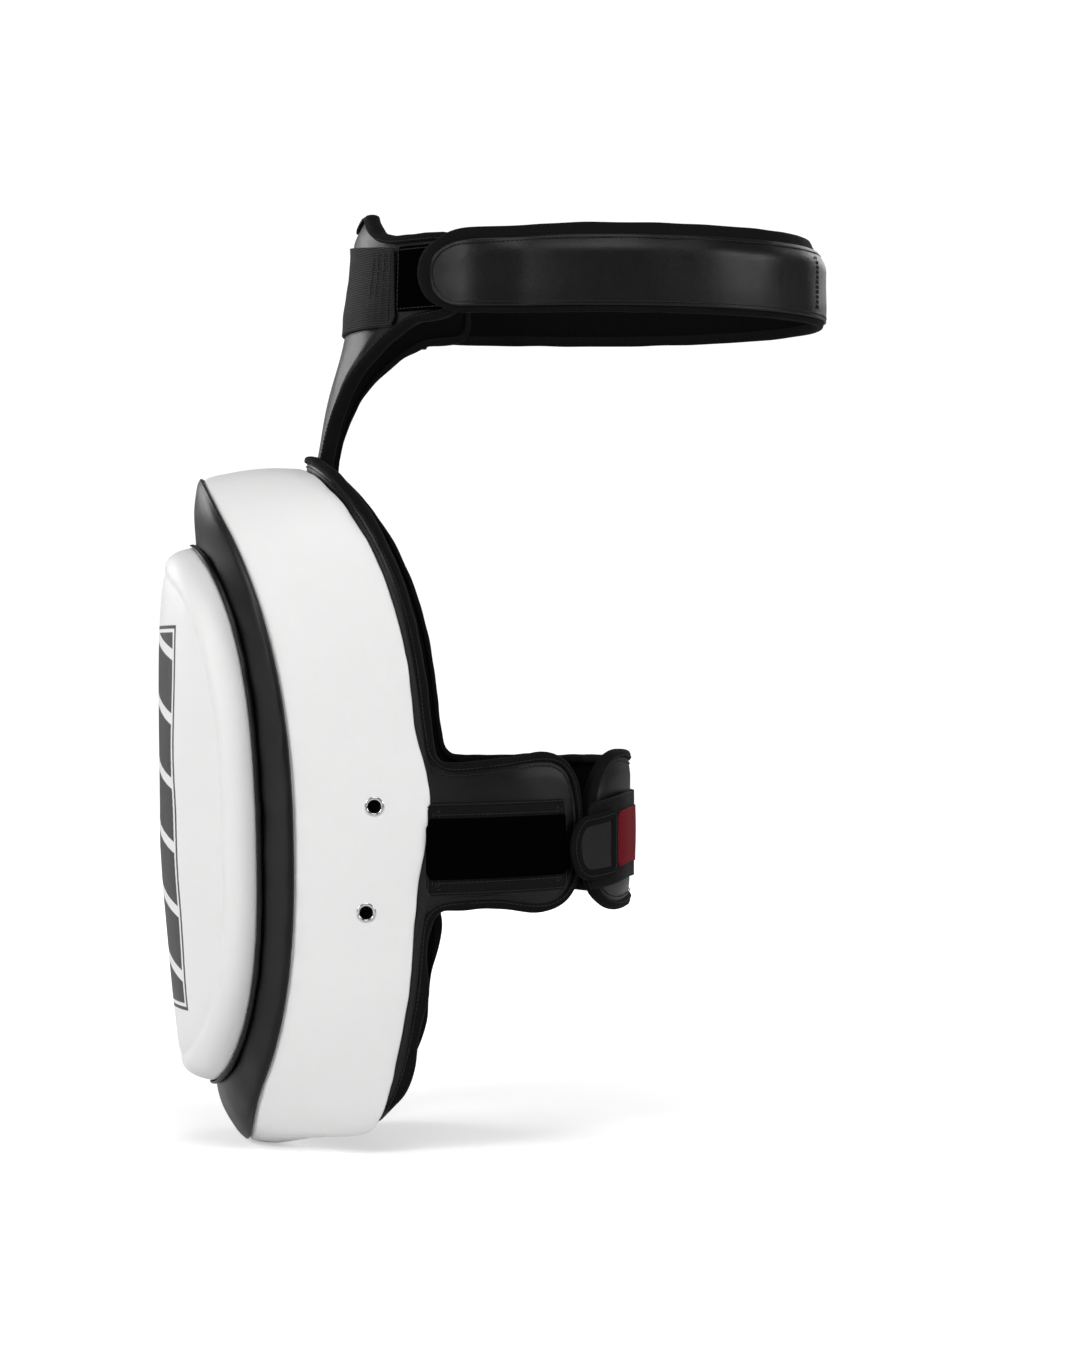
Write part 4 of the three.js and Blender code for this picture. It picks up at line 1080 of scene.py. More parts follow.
@dataclass
class KickPad:
    """The thick white block, its black face, the raised striking pad and the vent eyelets."""

    count: int = 288
    wall_rows: int = 26
    base_lift: float = 0.0073
    face_lift: float = -0.0033
    face_thickness: float = 0.003
    face_width: float = 0.270
    edge_radius: float = 0.0028
    seam_pucker: float = 0.0005
    under_swell: float = 0.0025
    base_pressure: float = 3.0
    striking_pressure: float = 4.0
    swell_cap: float = 0.003
    crease_share: float = 0.896
    crease_width: float = 0.022
    striking_top: float = 0.032
    striking_foot: float = 0.0005
    welt_width: float = 0.004
    eyelet_z: tuple[float, float] = (-0.340, -0.4075)
    eyelet_across: float = 0.43
    eyelet_radius: float = 0.0064
    eyelet_hole: float = 0.0042
    # From the middle to the foot: share of the outline, and rise over the face in metres.
    striking_profile: tuple[tuple[float, float], ...] = (
        (0.12, 0.0319), (0.3, 0.0311), (0.46, 0.0298), (0.6, 0.0280), (0.72, 0.0261), (0.80, 0.0247),
        (0.85, 0.0237), (0.872, 0.0230), (0.886, 0.0221), (0.896, 0.0213), (0.906, 0.0215), (0.92, 0.0217),
        (0.938, 0.0211), (0.955, 0.0192), (0.970, 0.0163), (0.983, 0.0122), (0.993, 0.0066), (1.0, 0.0008),
    )

    def wall(self, shares: tuple[Array, Array], across: float) -> Array:
        """One ring of the wall.

        Args:
            shares: The rings of the inner and the outer outline.
            across: The way from the inner edge, at 0, to the outer one, at 1.

        Returns:
            The ring's points.
        """
        start = BODY.thigh(*PAD.inner.at(shares[0], 1.0), self.base_lift)
        end = PAD.face(*PAD.outer.at(shares[1], 1.0), self.face_lift)
        centre = 0.5 * (
            PAD.face(np.zeros(1), np.full(1, PAD.outer.middle_z), 0.0)
            + BODY.thigh(np.zeros(1), np.full(1, PAD.outer.middle_z), 0.0)
        )
        points = start + (end - start) * across
        outwards = points - centre
        outwards /= np.linalg.norm(outwards, axis=1, keepdims=True)
        length = np.linalg.norm(end - start, axis=1)
        to_edge = length * min(across, 1 - across)
        close = np.clip(1 - to_edge / self.edge_radius, 0, 1)
        drop = self.edge_radius * (1 - np.sqrt(1 - 0.85 * close**2))
        pucker = self.seam_pucker * ripple(points, 0.015, 4) * np.exp(-to_edge / 0.007) * (to_edge > 0)
        slow = 0.0006 * ripple(points, 0.09, 5) * 4 * across * (1 - across)
        under = self.under_swell * eased(-outwards[:, 2], 0.5, 0.9)
        out = (PAD.wall_bulge + under) * 4 * across * (1 - across) - drop + pucker + slow
        return points + outwards * out[:, None]

    def build_base(self) -> bpy.types.Object:
        """The white block, let swell a little between its seams."""
        shares = PAD.inner.ring(self.count), PAD.outer.ring(self.count)
        steps = np.linspace(1.0, 0.0, self.wall_rows)
        steps = mixed(steps, 0.5 + 0.5 * np.cos((1 - steps) * math.pi), 0.6)
        steps = np.concatenate([[1.0, 0.992, 0.98], steps[1:-1], [0.02, 0.008, 0.0]])
        steps = np.unique(steps)[::-1]
        rim = (0.1, 0.3, 0.5, 0.7, 0.85, 0.94, 0.98)
        face = [PAD.face(*PAD.outer.at(PAD.outer.thinned(shares[1], s), s), self.face_lift) for s in rim]
        wall = [self.wall(shares, s) for s in steps]
        inner = [
            BODY.thigh(*PAD.inner.at(PAD.inner.thinned(shares[0], s), s), self.base_lift) for s in rim[::-1]
        ]
        middle = np.zeros(1), np.full(1, PAD.outer.middle_z)
        rings = [*face, *wall, *inner]
        first, last = PAD.face(*middle, self.face_lift)[0], BODY.thigh(*middle, self.base_lift)[0]
        pad = lofted("base_pad_cover", rings, first, last)
        held = np.concatenate(
            [np.ones(len(face))] + [[1.0 - 4 * s * (1 - s) * 0.9 for s in steps]] + [np.ones(len(inner))]
        )
        pins = np.append(np.repeat(held, [len(ring) for ring in rings]), [1.0, 1.0])
        inflate(pad, pins, self.base_pressure, self.swell_cap)
        subdivide(pad, 1)
        self.cut_vents(pad)
        return dress(pad, WHITE_LEATHER.material(), "white_leather", "base_pad")

    def eyelet_place(self, z: float) -> Matrix:
        """The place of an eyelet on the rear wall, its Z axis pointing out of it."""
        shares = PAD.inner.ring(self.count), PAD.outer.ring(self.count)
        row = self.wall(shares, self.eyelet_across)
        nearest = int(np.argmin(np.abs(row[:, 2] - z) + 10 * (row[:, 1] > 0)))
        before, after = (self.wall(shares, self.eyelet_across + step)[nearest] for step in (-0.02, 0.02))
        across = after - before
        along = row[(nearest + 1) % self.count] - row[nearest - 1]
        facing = Vector(np.cross(across, along)).normalized()
        if facing.y > 0:
            facing.negate()
        centre = Vector((row[nearest][0], row[nearest][1], z))
        return Matrix.Translation(centre) @ facing.to_track_quat("Z", "Y").to_matrix().to_4x4()

    def cut_vents(self, pad: bpy.types.Object) -> None:
        """Cuts a well for each eyelet into the block."""
        for z in self.eyelet_z:
            clear_selection()
            bpy.ops.mesh.primitive_cylinder_add(vertices=40, radius=self.eyelet_hole + 0.0004, depth=0.011)
            well = bpy.context.object
            well.data.transform(self.eyelet_place(z))
            cut = pad.modifiers.new("vent", "BOOLEAN")
            cut.operation, cut.solver, cut.object = "DIFFERENCE", "EXACT", well
            clear_selection()
            bpy.context.view_layer.objects.active = pad
            bpy.ops.object.modifier_apply(modifier=cut.name)
            bpy.data.objects.remove(well)

    def build_eyelets(self) -> None:
        """Two nickel rings with a dark barrel, each set into its well."""
        for name, z in zip(("upper_eyelet", "lower_eyelet"), self.eyelet_z):
            place = self.eyelet_place(z)
            rim = (self.eyelet_radius + self.eyelet_hole) / 2
            clear_selection()
            bpy.ops.mesh.primitive_torus_add(
                major_radius=rim, minor_radius=self.eyelet_radius - rim, major_segments=56, minor_segments=18
            )
            ring = bpy.context.object
            ring.name = name + "_ring"
            ring.data.transform(place @ Matrix.Translation((0, 0, 0.0002)) @ Matrix.Diagonal((1, 1, 0.8, 1)))
            self.finish_hard(ring)
            dress(ring, NICKEL.material(), "eyelet_metal", name)
            clear_selection()
            bpy.ops.mesh.primitive_cylinder_add(vertices=40, radius=self.eyelet_hole, depth=0.0045)
            barrel = bpy.context.object
            barrel.name = name + "_barrel"
            self.hollow_out(barrel)
            barrel.data.transform(place @ Matrix.Translation((0, 0, -0.0024)))
            self.finish_hard(barrel)
            dress(barrel, EYELET_DARK.material(), "eyelet_metal")

    def hollow_out(self, barrel: bpy.types.Object) -> None:
        """Makes a cup of a cylinder by an inset and an extrusion of its upper end."""
        bpy.ops.object.mode_set(mode="EDIT")
        bpy.ops.mesh.select_all(action="DESELECT")
        bpy.ops.mesh.select_mode(type="FACE")
        bpy.ops.object.mode_set(mode="OBJECT")
        for face in barrel.data.polygons:
            face.select = face.normal.z > 0.9
        bpy.ops.object.mode_set(mode="EDIT")
        bpy.ops.mesh.inset(thickness=0.0006, depth=0.0)
        bpy.ops.mesh.inset(thickness=0.0002, depth=-0.0038)
        bpy.ops.object.mode_set(mode="OBJECT")

    @staticmethod
    def finish_hard(piece: bpy.types.Object) -> None:
        """Rounds the shading of a hard piece."""
        clear_selection()
        piece.select_set(True)
        bpy.context.view_layer.objects.active = piece
        bpy.ops.object.shade_smooth_by_angle(angle=math.radians(40))
        clear_selection()

    def build_face(self) -> bpy.types.Object:
        """The black leather face, with a soft crown along its margin and a rolled edge."""
        shares = PAD.outer.ring(self.count)
        outer = (0.1, 0.3, 0.5, 0.72, 0.8, 0.86, 0.9, 0.93, 0.955, 0.973, 0.986, 0.994, 0.998, 1.0)
        inner = (0.9985, 0.99, 0.9, 0.6, 0.3, 0.1)

        def ring(scale: float, lift: float) -> Array:
            """One ring of the face, at a share of the outline."""
            angle, z = PAD.outer.at(PAD.outer.thinned(shares, scale), scale)
            flat = PAD.face(angle, z, 0.0)
            crown = 0.0010 * eased(scale, 0.72, 0.93) - 0.0017 * float(eased(scale, 0.975, 1.0)) ** 1.5
            on_margin = float(eased(scale, 0.7, 0.85) * (1 - eased(scale, 0.97, 1.0)))
            uneven = 0.00035 * ripple(flat, 0.03, 8) * on_margin
            return PAD.face(angle, z, lift + (crown + uneven if lift >= 0 else 0.0))

        rings = [ring(s, 0.0) for s in outer] + [ring(s, -self.face_thickness) for s in inner]
        middle = np.zeros(1), np.full(1, PAD.outer.middle_z)
        first, last = PAD.face(*middle, 0.0)[0], PAD.face(*middle, -self.face_thickness)[0]
        panel = lofted("face_panel_leather", rings, first, last)
        subdivide(panel, 1)
        return dress(panel, BLACK_LEATHER.material(), "black_leather", "face_panel")

    def build_striking_pad(self) -> bpy.types.Object:
        """The raised white pad, let swell between its crease and its foot."""
        shares = PAD.striking.ring(self.count)
        rings, held = [], []
        for scale, rise in self.striking_profile:
            angle, z = PAD.striking.at(PAD.striking.thinned(shares, scale), scale)
            flat = PAD.face(angle, z, 0.0)
            near_crease = math.exp(-(((scale - self.crease_share) / self.crease_width) ** 2))
            pucker = 0.00045 * ripple(flat, 0.018, 11) * near_crease
            slow = 0.0005 * ripple(flat, 0.08, 12) * float(1 - eased(scale, 0.8, 1.0))
            rings.append(PAD.face(angle, z, rise + pucker + slow))
            held.append(1.0 if scale > 0.99 else 0.35 + 0.6 * near_crease)
        for scale in (0.985, 0.8, 0.5, 0.3, 0.1):
            angle, z = PAD.striking.at(PAD.striking.thinned(shares, scale), scale)
            rings.append(PAD.face(angle, z, self.striking_foot))
            held.append(1.0)
        middle = np.zeros(1), np.full(1, PAD.striking.middle_z)
        first, last = PAD.face(*middle, self.striking_top)[0], PAD.face(*middle, self.striking_foot)[0]
        pad = lofted("striking_pad_cover", rings, first, last)
        pins = np.append(np.repeat(held, [len(ring) for ring in rings]), [0.35, 1.0])
        inflate(pad, pins, self.striking_pressure, self.swell_cap)
        subdivide(pad, 1)
        return dress(pad, PRINTED_LEATHER.material(), "white_leather", "striking_pad")

    def build_welt(self) -> bpy.types.Object:
        """The dark piping round the striking pad's foot."""
        angle, z = PAD.striking.at(PAD.striking.ring(400), 1.0)
        outline = Outline(PAD.face, PAD.face_scale, np.column_stack([angle, z]))
        turns = np.linspace(0, 2 * math.pi, 12, endpoint=False)
        circle = tuple((0.5 + 0.5 * math.cos(t), math.sin(t)) for t in turns)
        sideways = np.abs(outline.along()[:, 1])
        cord = FoldedTape(
            outline, self.welt_width, 0.0003, 0.0003 + self.welt_width, lap=-0.0002, looseness=0.0002,
            seed=21, shares=0.45 + 0.55 * eased(sideways, 0.1, 0.7), section=circle,
        )
        piping = cord.build("striking_pad_piping")
        return dress(piping, BLACK_LEATHER.material(), "binding", "striking_pad_welt")

    def build(self) -> None:
        """Builds and dresses the whole pad."""
        self.build_base()
        self.build_face()
        self.build_striking_pad()
        self.build_welt()
        self.build_eyelets()


@dataclass
class BoundAssembly:
    """What the assemblies with folded tapes share: their clearances and their stitches."""

    proud: float = 0.0005
    clearance: float = 0.0003
    tape_width: float = TAPE_WIDTH
    leather_reach: float = 0.0036
    stitches: Stitching = field(default_factory=Stitching)


# The thigh wrap and its strap


@dataclass
class ThighWrap(BoundAssembly):
    """The bound panel behind the pad, its two wings, the loop strap and the closing strap."""

    thickness: float = 0.007
    fillet: float = 0.020
    over_pad: float = 1.008
    bottom_rise: float = 0.011
    bottom_run: tuple[float, float] = (0.500, 0.545)
    wavy_run: tuple[float, float] = (0.400, 0.430)
    narrow_run: tuple[float, float] = (0.520, 0.546)
    wing_z: float = -0.361
    wing_height: float = 0.084
    rear_end: float = math.radians(130.5)
    tip_gap: float = math.radians(10.5)
    # Metres to a radian along the straps.
    strap_radius: float = 0.109
    strap_z: float = -0.364
    strap_start: float = math.radians(79)
    loop_start: float = math.radians(77.2)
    loop_z: float = -0.3675
    loop_height: float = 0.059
    loop_end: float = math.radians(127)
    loop_tip_share: float = 0.98
    loop_rise: float = 0.003
    pile_share: float = 0.66
    loop_thickness: float = 0.002
    # Over the wrap: the webbing's top, the pile's foot and the pile's top.
    loop_layers: tuple[float, float, float] = (0.0012, 0.0013, 0.0024)
    closing_height: float = 0.056
    closing_thickness: float = 0.0025
    climb_length: float = math.radians(16)
    tip_drop: float = -0.0035
    tip_rise: float = 0.003
    tip_run: tuple[float, float] = (math.radians(-150), math.radians(-100))
    rise_run: tuple[float, float] = (math.radians(-230), math.radians(-196))
    tab_height: float = 0.040
    tab_thickness: float = 0.0025
    tab_tape_width: float = 0.006
    tab_tip: float = math.radians(127 - 360)
    tab_length: float = math.radians(20)
    tab_round: float = 0.014
    label_height: float = 0.036
    label_length: float = math.radians(38)
    label_thickness: float = 0.0008
    # Wings from the pad's edge to the tip: shares of the length and of half the height.
    rear_wing: tuple[tuple[float, float, float], ...] = (
        (0.28, 0.94, -0.88), (0.50, 1.02, -0.84), (0.70, 1.10, -0.93), (0.82, 1.13, -0.93),
        (0.90, 1.07, -0.84), (0.96, 0.86, -0.66), (1.00, 0.40, -0.35),
    )
    front_wing: tuple[tuple[float, float, float], ...] = (
        (0.12, 0.96, -0.82), (0.30, 0.98, -0.82), (0.60, 1.00, -0.85), (0.80, 1.12, -0.93),
        (0.88, 1.16, -0.98), (0.94, 1.06, -0.92), (0.98, 0.72, -0.78), (1.00, 0.30, -0.50),
    )

    def half_edge(self, side: Side, edge: Edge) -> Array:
        """One half of the wrap's upper or lower edge, from its middle to the wing's tip."""
        half = PAD.inner.half_angle
        scale = float(BODY.thigh_scale(0.0))
        rear = side is Side.REAR
        end = self.rear_end if rear else 2 * math.pi - self.rear_end - self.tip_gap
        wing = self.rear_wing if rear else self.front_wing
        column = 1 if edge is Edge.UPPER else 2
        heights = [self.wing_z + self.wing_height / 2 * row[column] for row in wing]
        start = heights[0] + edge.value * self.fillet
        shares = PAD.inner.quarter(edge, 40)[::-1]
        angle, z = PAD.inner.at(shares, self.over_pad)
        z = z + self.bottom_rise * eased(-z, *self.bottom_run)
        keep = edge.value * (z - start) > 0.001
        pad = np.column_stack([angle[keep], z[keep]])
        turns = np.linspace(0, math.pi / 2, 8)
        corner = np.column_stack([
            max(half, pad[-1, 0]) + self.fillet * (1 - np.cos(turns)) / scale,
            start - edge.value * self.fillet * np.sin(turns),
        ])
        blade = np.array([[half + (end - half) * row[0], z] for row, z in zip(wing[1:], heights[1:])])
        return np.vstack([pad, corner, blade]) * np.array([side.value, 1.0])

    def outline(self) -> Outline:
        """The wrap's closed outline."""
        upper, lower = (
            np.vstack([self.half_edge(Side.FRONT, edge)[::-1], self.half_edge(Side.REAR, edge)])
            for edge in (Edge.UPPER, Edge.LOWER)
        )
        return Outline(BODY.thigh, BODY.thigh_scale, closed_line(upper, lower))

    def build_panel(self) -> None:
        """The padded panel and its folded tape."""
        outline = self.outline()
        edge = outline.grown(self.leather_reach)
        panel = BoundPanel(
            edge, 0.0, self.thickness, rows=44, column_step=0.0032, edge_pinch=0.0012, unevenness=0.0004,
            wavelength=0.045, seed=31,
        ).build("thigh_wrap_panel")
        dress(panel, BELT_LEATHER.material(), "lining", "thigh_wrap")
        line_inside(panel, LINING.material(), BODY.thigh_x)
        inner, outer = -self.proud, self.thickness + self.proud
        z, angle = outline.line[:, 1], outline.line[:, 0]
        low_wave = ripple(BODY.thigh(angle, z, 0.0), 0.05, 33) * eased(-z, *self.wavy_run)
        beside_pad = eased(PAD.inner.half_angle + 0.2 - np.abs(angle), 0.0, 0.1)
        shares = 1.0 - 0.16 * beside_pad + 0.22 * low_wave - 0.55 * eased(-z, *self.narrow_run)
        tape = FoldedTape(
            outline, self.tape_width, inner, outer, lap=-self.leather_reach + 0.0008, seed=32, shares=shares
        ).build("thigh_wrap_tape")
        dress(tape, TAPE.material(), "binding", "thigh_wrap_binding")
        self.stitches.sew(BODY.thigh, outline.moved(self.leather_reach + 0.0006), outer + 0.0001, closed=True)
        inside = outline.moved(self.leather_reach - 0.0034)
        self.stitches.sew(BODY.thigh, inside, self.thickness - 0.0004, closed=True)

    def strap(self, angle: Array, z: Array, lift: Array) -> Array:
        """Points on the closing strap's surface, which climbs onto the loop strap at its end."""
        end = 2 * math.pi - self.rear_end - 2 * self.tip_gap
        climb = eased(-angle, end - self.climb_length, end)
        rise = self.loop_thickness + self.proud + self.clearance
        moved = mixed(self.tip_drop, self.tip_rise, eased(angle, *self.rise_run))
        z = z + (1 - eased(angle, *self.tip_run)) * moved
        return BODY.thigh(angle, z, self.thickness + self.clearance + rise * climb + lift)

    def sheet_on(
        self, name: str, surface: Surface, line: Array, inner: float, outer: float, seed: int
    ) -> tuple[Outline, bpy.types.Object]:
        """Builds a thin sheet on a surface, and returns its outline and the piece."""
        outline = Outline(surface, BODY.thigh_scale, line, step=0.0022, passes=2)
        sheet = BoundPanel(
            outline, inner, outer, rows=16, column_step=0.0025, edge_pinch=0.0002, unevenness=0.00015,
            wavelength=0.03, seed=seed,
        )
        return outline, sheet.build(name)

    def build_loop_strap(self) -> None:
        """The loop strap on the rear wing: a webbing with a band of pile along its middle."""
        base = self.thickness + self.clearance
        webbing_top, pile_foot, pile_top = (base + layer for layer in self.loop_layers)
        half, tip = self.loop_height / 2, self.loop_height / 2 * self.loop_tip_share

        def line(share: float) -> Array:
            """The strap's four corners, at a share of its height."""
            near, far = half * share, tip * share
            return np.array([
                [self.loop_start, self.loop_z - near], [self.loop_end, self.loop_z + self.loop_rise - far],
                [self.loop_end, self.loop_z + self.loop_rise + far], [self.loop_start, self.loop_z + near],
            ])

        webbing, piece = self.sheet_on("loop_strap_webbing", BODY.thigh, line(1.0), base, webbing_top, 41)
        dress(piece, WEBBING.material(), "webbing", "loop_strap")
        band = line(self.pile_share)
        _, pile = self.sheet_on("loop_strap_pile", BODY.thigh, band, pile_foot, pile_top, 42)
        dress(pile, LOOP_PILE.material(), "loop_pile")
        for inset in (0.0012, 0.0078):
            self.stitches.sew(BODY.thigh, webbing.moved(-inset), pile_foot, closed=True)

    def build_closing_strap(self) -> None:
        """The strap that comes round the front wing, its rounded end and its plain label."""
        start, end = self.tab_tip + self.tab_length * 0.4, -self.strap_start
        low, high = self.strap_z - self.closing_height / 2, self.strap_z + self.closing_height / 2
        run = strip_line(start, end, low, high)
        _, strap = self.sheet_on("closing_strap_webbing", self.strap, run, 0.0, self.closing_thickness, 43)
        dress(strap, WEBBING.material(), "webbing", "closing_strap")
        inner = self.closing_thickness + self.clearance
        tab_end = self.tab_tip + self.tab_length
        turns = np.radians(np.linspace(-80, 80, 15))
        round_end = np.column_stack([
            self.tab_tip + self.tab_round / self.strap_radius * (1 - np.cos(turns)),
            self.strap_z - self.tab_height / 2 * np.sin(turns),
        ])
        top, bottom = self.strap_z + self.tab_height / 2, self.strap_z - self.tab_height / 2
        line = np.vstack([[[tab_end, top]], round_end[1:], [[tab_end, bottom]]])
        tab_outline, tab = self.sheet_on(
            "strap_tab_leather", self.strap, line[::-1], inner, inner + self.tab_thickness, 44
        )
        dress(tab, BELT_LEATHER.material(), "black_leather", "strap_tab")
        face = inner + self.tab_thickness + self.proud
        tape = FoldedTape(tab_outline, self.tab_tape_width, inner - self.proud / 2, face, seed=45)
        binding = tape.build("strap_tab_tape")
        dress(binding, TAPE.material(), "binding")
        self.stitches.sew(self.strap, tab_outline.moved(0.001), face, closed=True)
        start = tab_end + math.radians(2.4)
        low, high = self.strap_z - self.label_height / 2, self.strap_z + self.label_height / 2
        label_line = strip_line(start, start + self.label_length, low, high)
        outer = inner + self.label_thickness
        _, label = self.sheet_on("plain_label", self.strap, label_line, inner, outer, 46)
        dress(label, LABEL.material(), "label", "strap_label")

    def build(self) -> None:
        """Builds and dresses the wrap and its straps."""
        self.build_panel()
        self.build_loop_strap()
        self.build_closing_strap()
        dress(self.stitches.build("thigh_stitching"), THREAD.material(), "binding")


# The hip panel


@dataclass
class HipHanger(BoundAssembly):
    """The leather panel from the belt to the pad, with its elastic and its hook and loop patch."""

    thickness: float = 0.008
    top_z: float = 0.0405
    tail_z: float = -0.188
    end: float = HIP_PANEL_END
    # The two ears at the top, where the tape is narrower.
    ear_z: tuple[float, float] = (0.028, 0.036)
    ear_angle: tuple[float, float] = (0.18, 0.26)
    ear_narrowing: float = 0.42
    # Metres to a radian under the band, at its seams and under the patch.
    band_radius: float = 0.135
    seam_radius: float = 0.133
    patch_radius: float = 0.12
    seam_z: float = 0.0192
    band_rear: float = math.radians(37.5)
    band_front: float = math.radians(-46)
    band_top_z: float = 0.0275
    band_height: float = 0.059
    band_thickness: float = 0.002
    patch_height: float = 0.042
    patch_thickness: float = 0.0015
    # From the middle to the end: share of the angle, of the height and of the tail's depth.
    edge_rows: tuple[tuple[float, float, float], ...] = (
        (0.00, 0.84, 1.000), (0.10, 0.88, 1.000), (0.18, 0.97, 1.000), (0.22, 1.03, 1.000), (0.25, 1.00, 0.680),
        (0.29, 0.90, 0.490), (0.38, 0.76, 0.350), (0.49, 0.57, 0.256), (0.62, 0.48, 0.172), (0.75, 0.47, 0.122),
        (0.90, 0.47, 0.107), (1.00, 0.46, 0.101),
    )

    def outline(self) -> Outline:
        """The panel's closed outline."""
        rows = np.array(self.edge_rows)
        shares = np.concatenate([-rows[:0:-1, 0], rows[:, 0]])
        upper = np.concatenate([rows[:0:-1, 1], rows[:, 1]]) * self.top_z
        lower = np.concatenate([rows[:0:-1, 2], rows[:, 2]]) * self.tail_z
        angle = shares * self.end
        line = closed_line(np.column_stack([angle, upper]), np.column_stack([angle, lower]))
        return Outline(BODY.hip, BODY.waist_scale, line, passes=3)

    def build(self) -> None:
        """Builds and dresses the panel and what is sewn on it."""
        outline = self.outline()
        edge = outline.grown(self.leather_reach)
        panel = BoundPanel(
            edge, 0.0, self.thickness, rows=56, column_step=0.0032, edge_pinch=0.0014, unevenness=0.0005,
            wavelength=0.05, seed=51,
        ).build("hip_panel_leather")
        dress(panel, BELT_LEATHER.material(), "black_leather", "hip_panel")
        line_inside(panel, LINING.material(), BODY.waist_x)
        inner, outer = -self.proud, self.thickness + self.proud
        angle, z = outline.line.T
        ear = eased(z, *self.ear_z) * (1 - eased(np.abs(angle), *self.ear_angle))
        tape = FoldedTape(
            outline, self.tape_width, inner, outer, lap=-self.leather_reach + 0.0008, seed=52,
            shares=1.0 - self.ear_narrowing * ear,
        ).build("hip_panel_tape")
        dress(tape, TAPE.material(), "binding", "hip_panel_binding")
        self.stitches.sew(BODY.hip, outline.moved(self.leather_reach + 0.0006), outer + 0.0001, closed=True)
        self.build_band(outer + self.clearance)
        self.build_patch(outer + self.clearance)
        dress(self.stitches.build("hip_stitching"), THREAD.material(), "binding")

    def build_band(self, base: float) -> None:
        """The ribbed elastic over the hip, with upright rows of stitches at its rear end."""
        slope = (self.seam_z - self.band_top_z) / self.band_rear
        angles = np.linspace(self.band_rear, self.band_front, 30)
        top = [[a, self.band_top_z + slope * abs(a)] for a in angles]
        bottom_z = self.band_top_z - self.band_height
        line = np.array([[self.band_front, bottom_z], [self.band_rear, bottom_z], *top])
        outline = Outline(BODY.hip, BODY.waist_scale, line, step=0.0022, passes=2)
        band = BoundPanel(
            outline, base, base + self.band_thickness, rows=20, column_step=0.0025, edge_pinch=0.0002,
            wavelength=0.02, seed=53,
        )
        piece = band.build("ribbed_elastic")
        dress(piece, ELASTIC.material(), "elastic", "elastic_band")
        for back in (0.004, 0.010, 0.016, 0.022):
            angle = self.band_rear - back / self.seam_radius
            high = self.band_top_z + slope * angle - 0.002
            row = np.column_stack([np.full(30, angle), np.linspace(bottom_z + 0.002, high, 30)])
            self.stitches.sew(BODY.hip, row, base + self.band_thickness + 0.0001)

    def build_patch(self, base: float) -> None:
        """The loop patch where the belt's end closes."""
        line = strip_line(self.band_rear + 0.005, self.end, self.seam_z - self.patch_height, self.seam_z)
        outline = Outline(BODY.hip, BODY.waist_scale, line, step=0.0022, passes=2)
        patch = BoundPanel(
            outline, base, base + self.patch_thickness, rows=16, column_step=0.0025, edge_pinch=0.0002,
            unevenness=0.0002, wavelength=0.02, seed=54,
        )
        piece = patch.build("loop_patch_pile")
        dress(piece, LOOP_PILE.material(), "loop_pile", "hook_loop_patch")
        self.stitches.sew(BODY.hip, outline.moved(-0.002), base + self.patch_thickness, closed=True)


# The waist belt


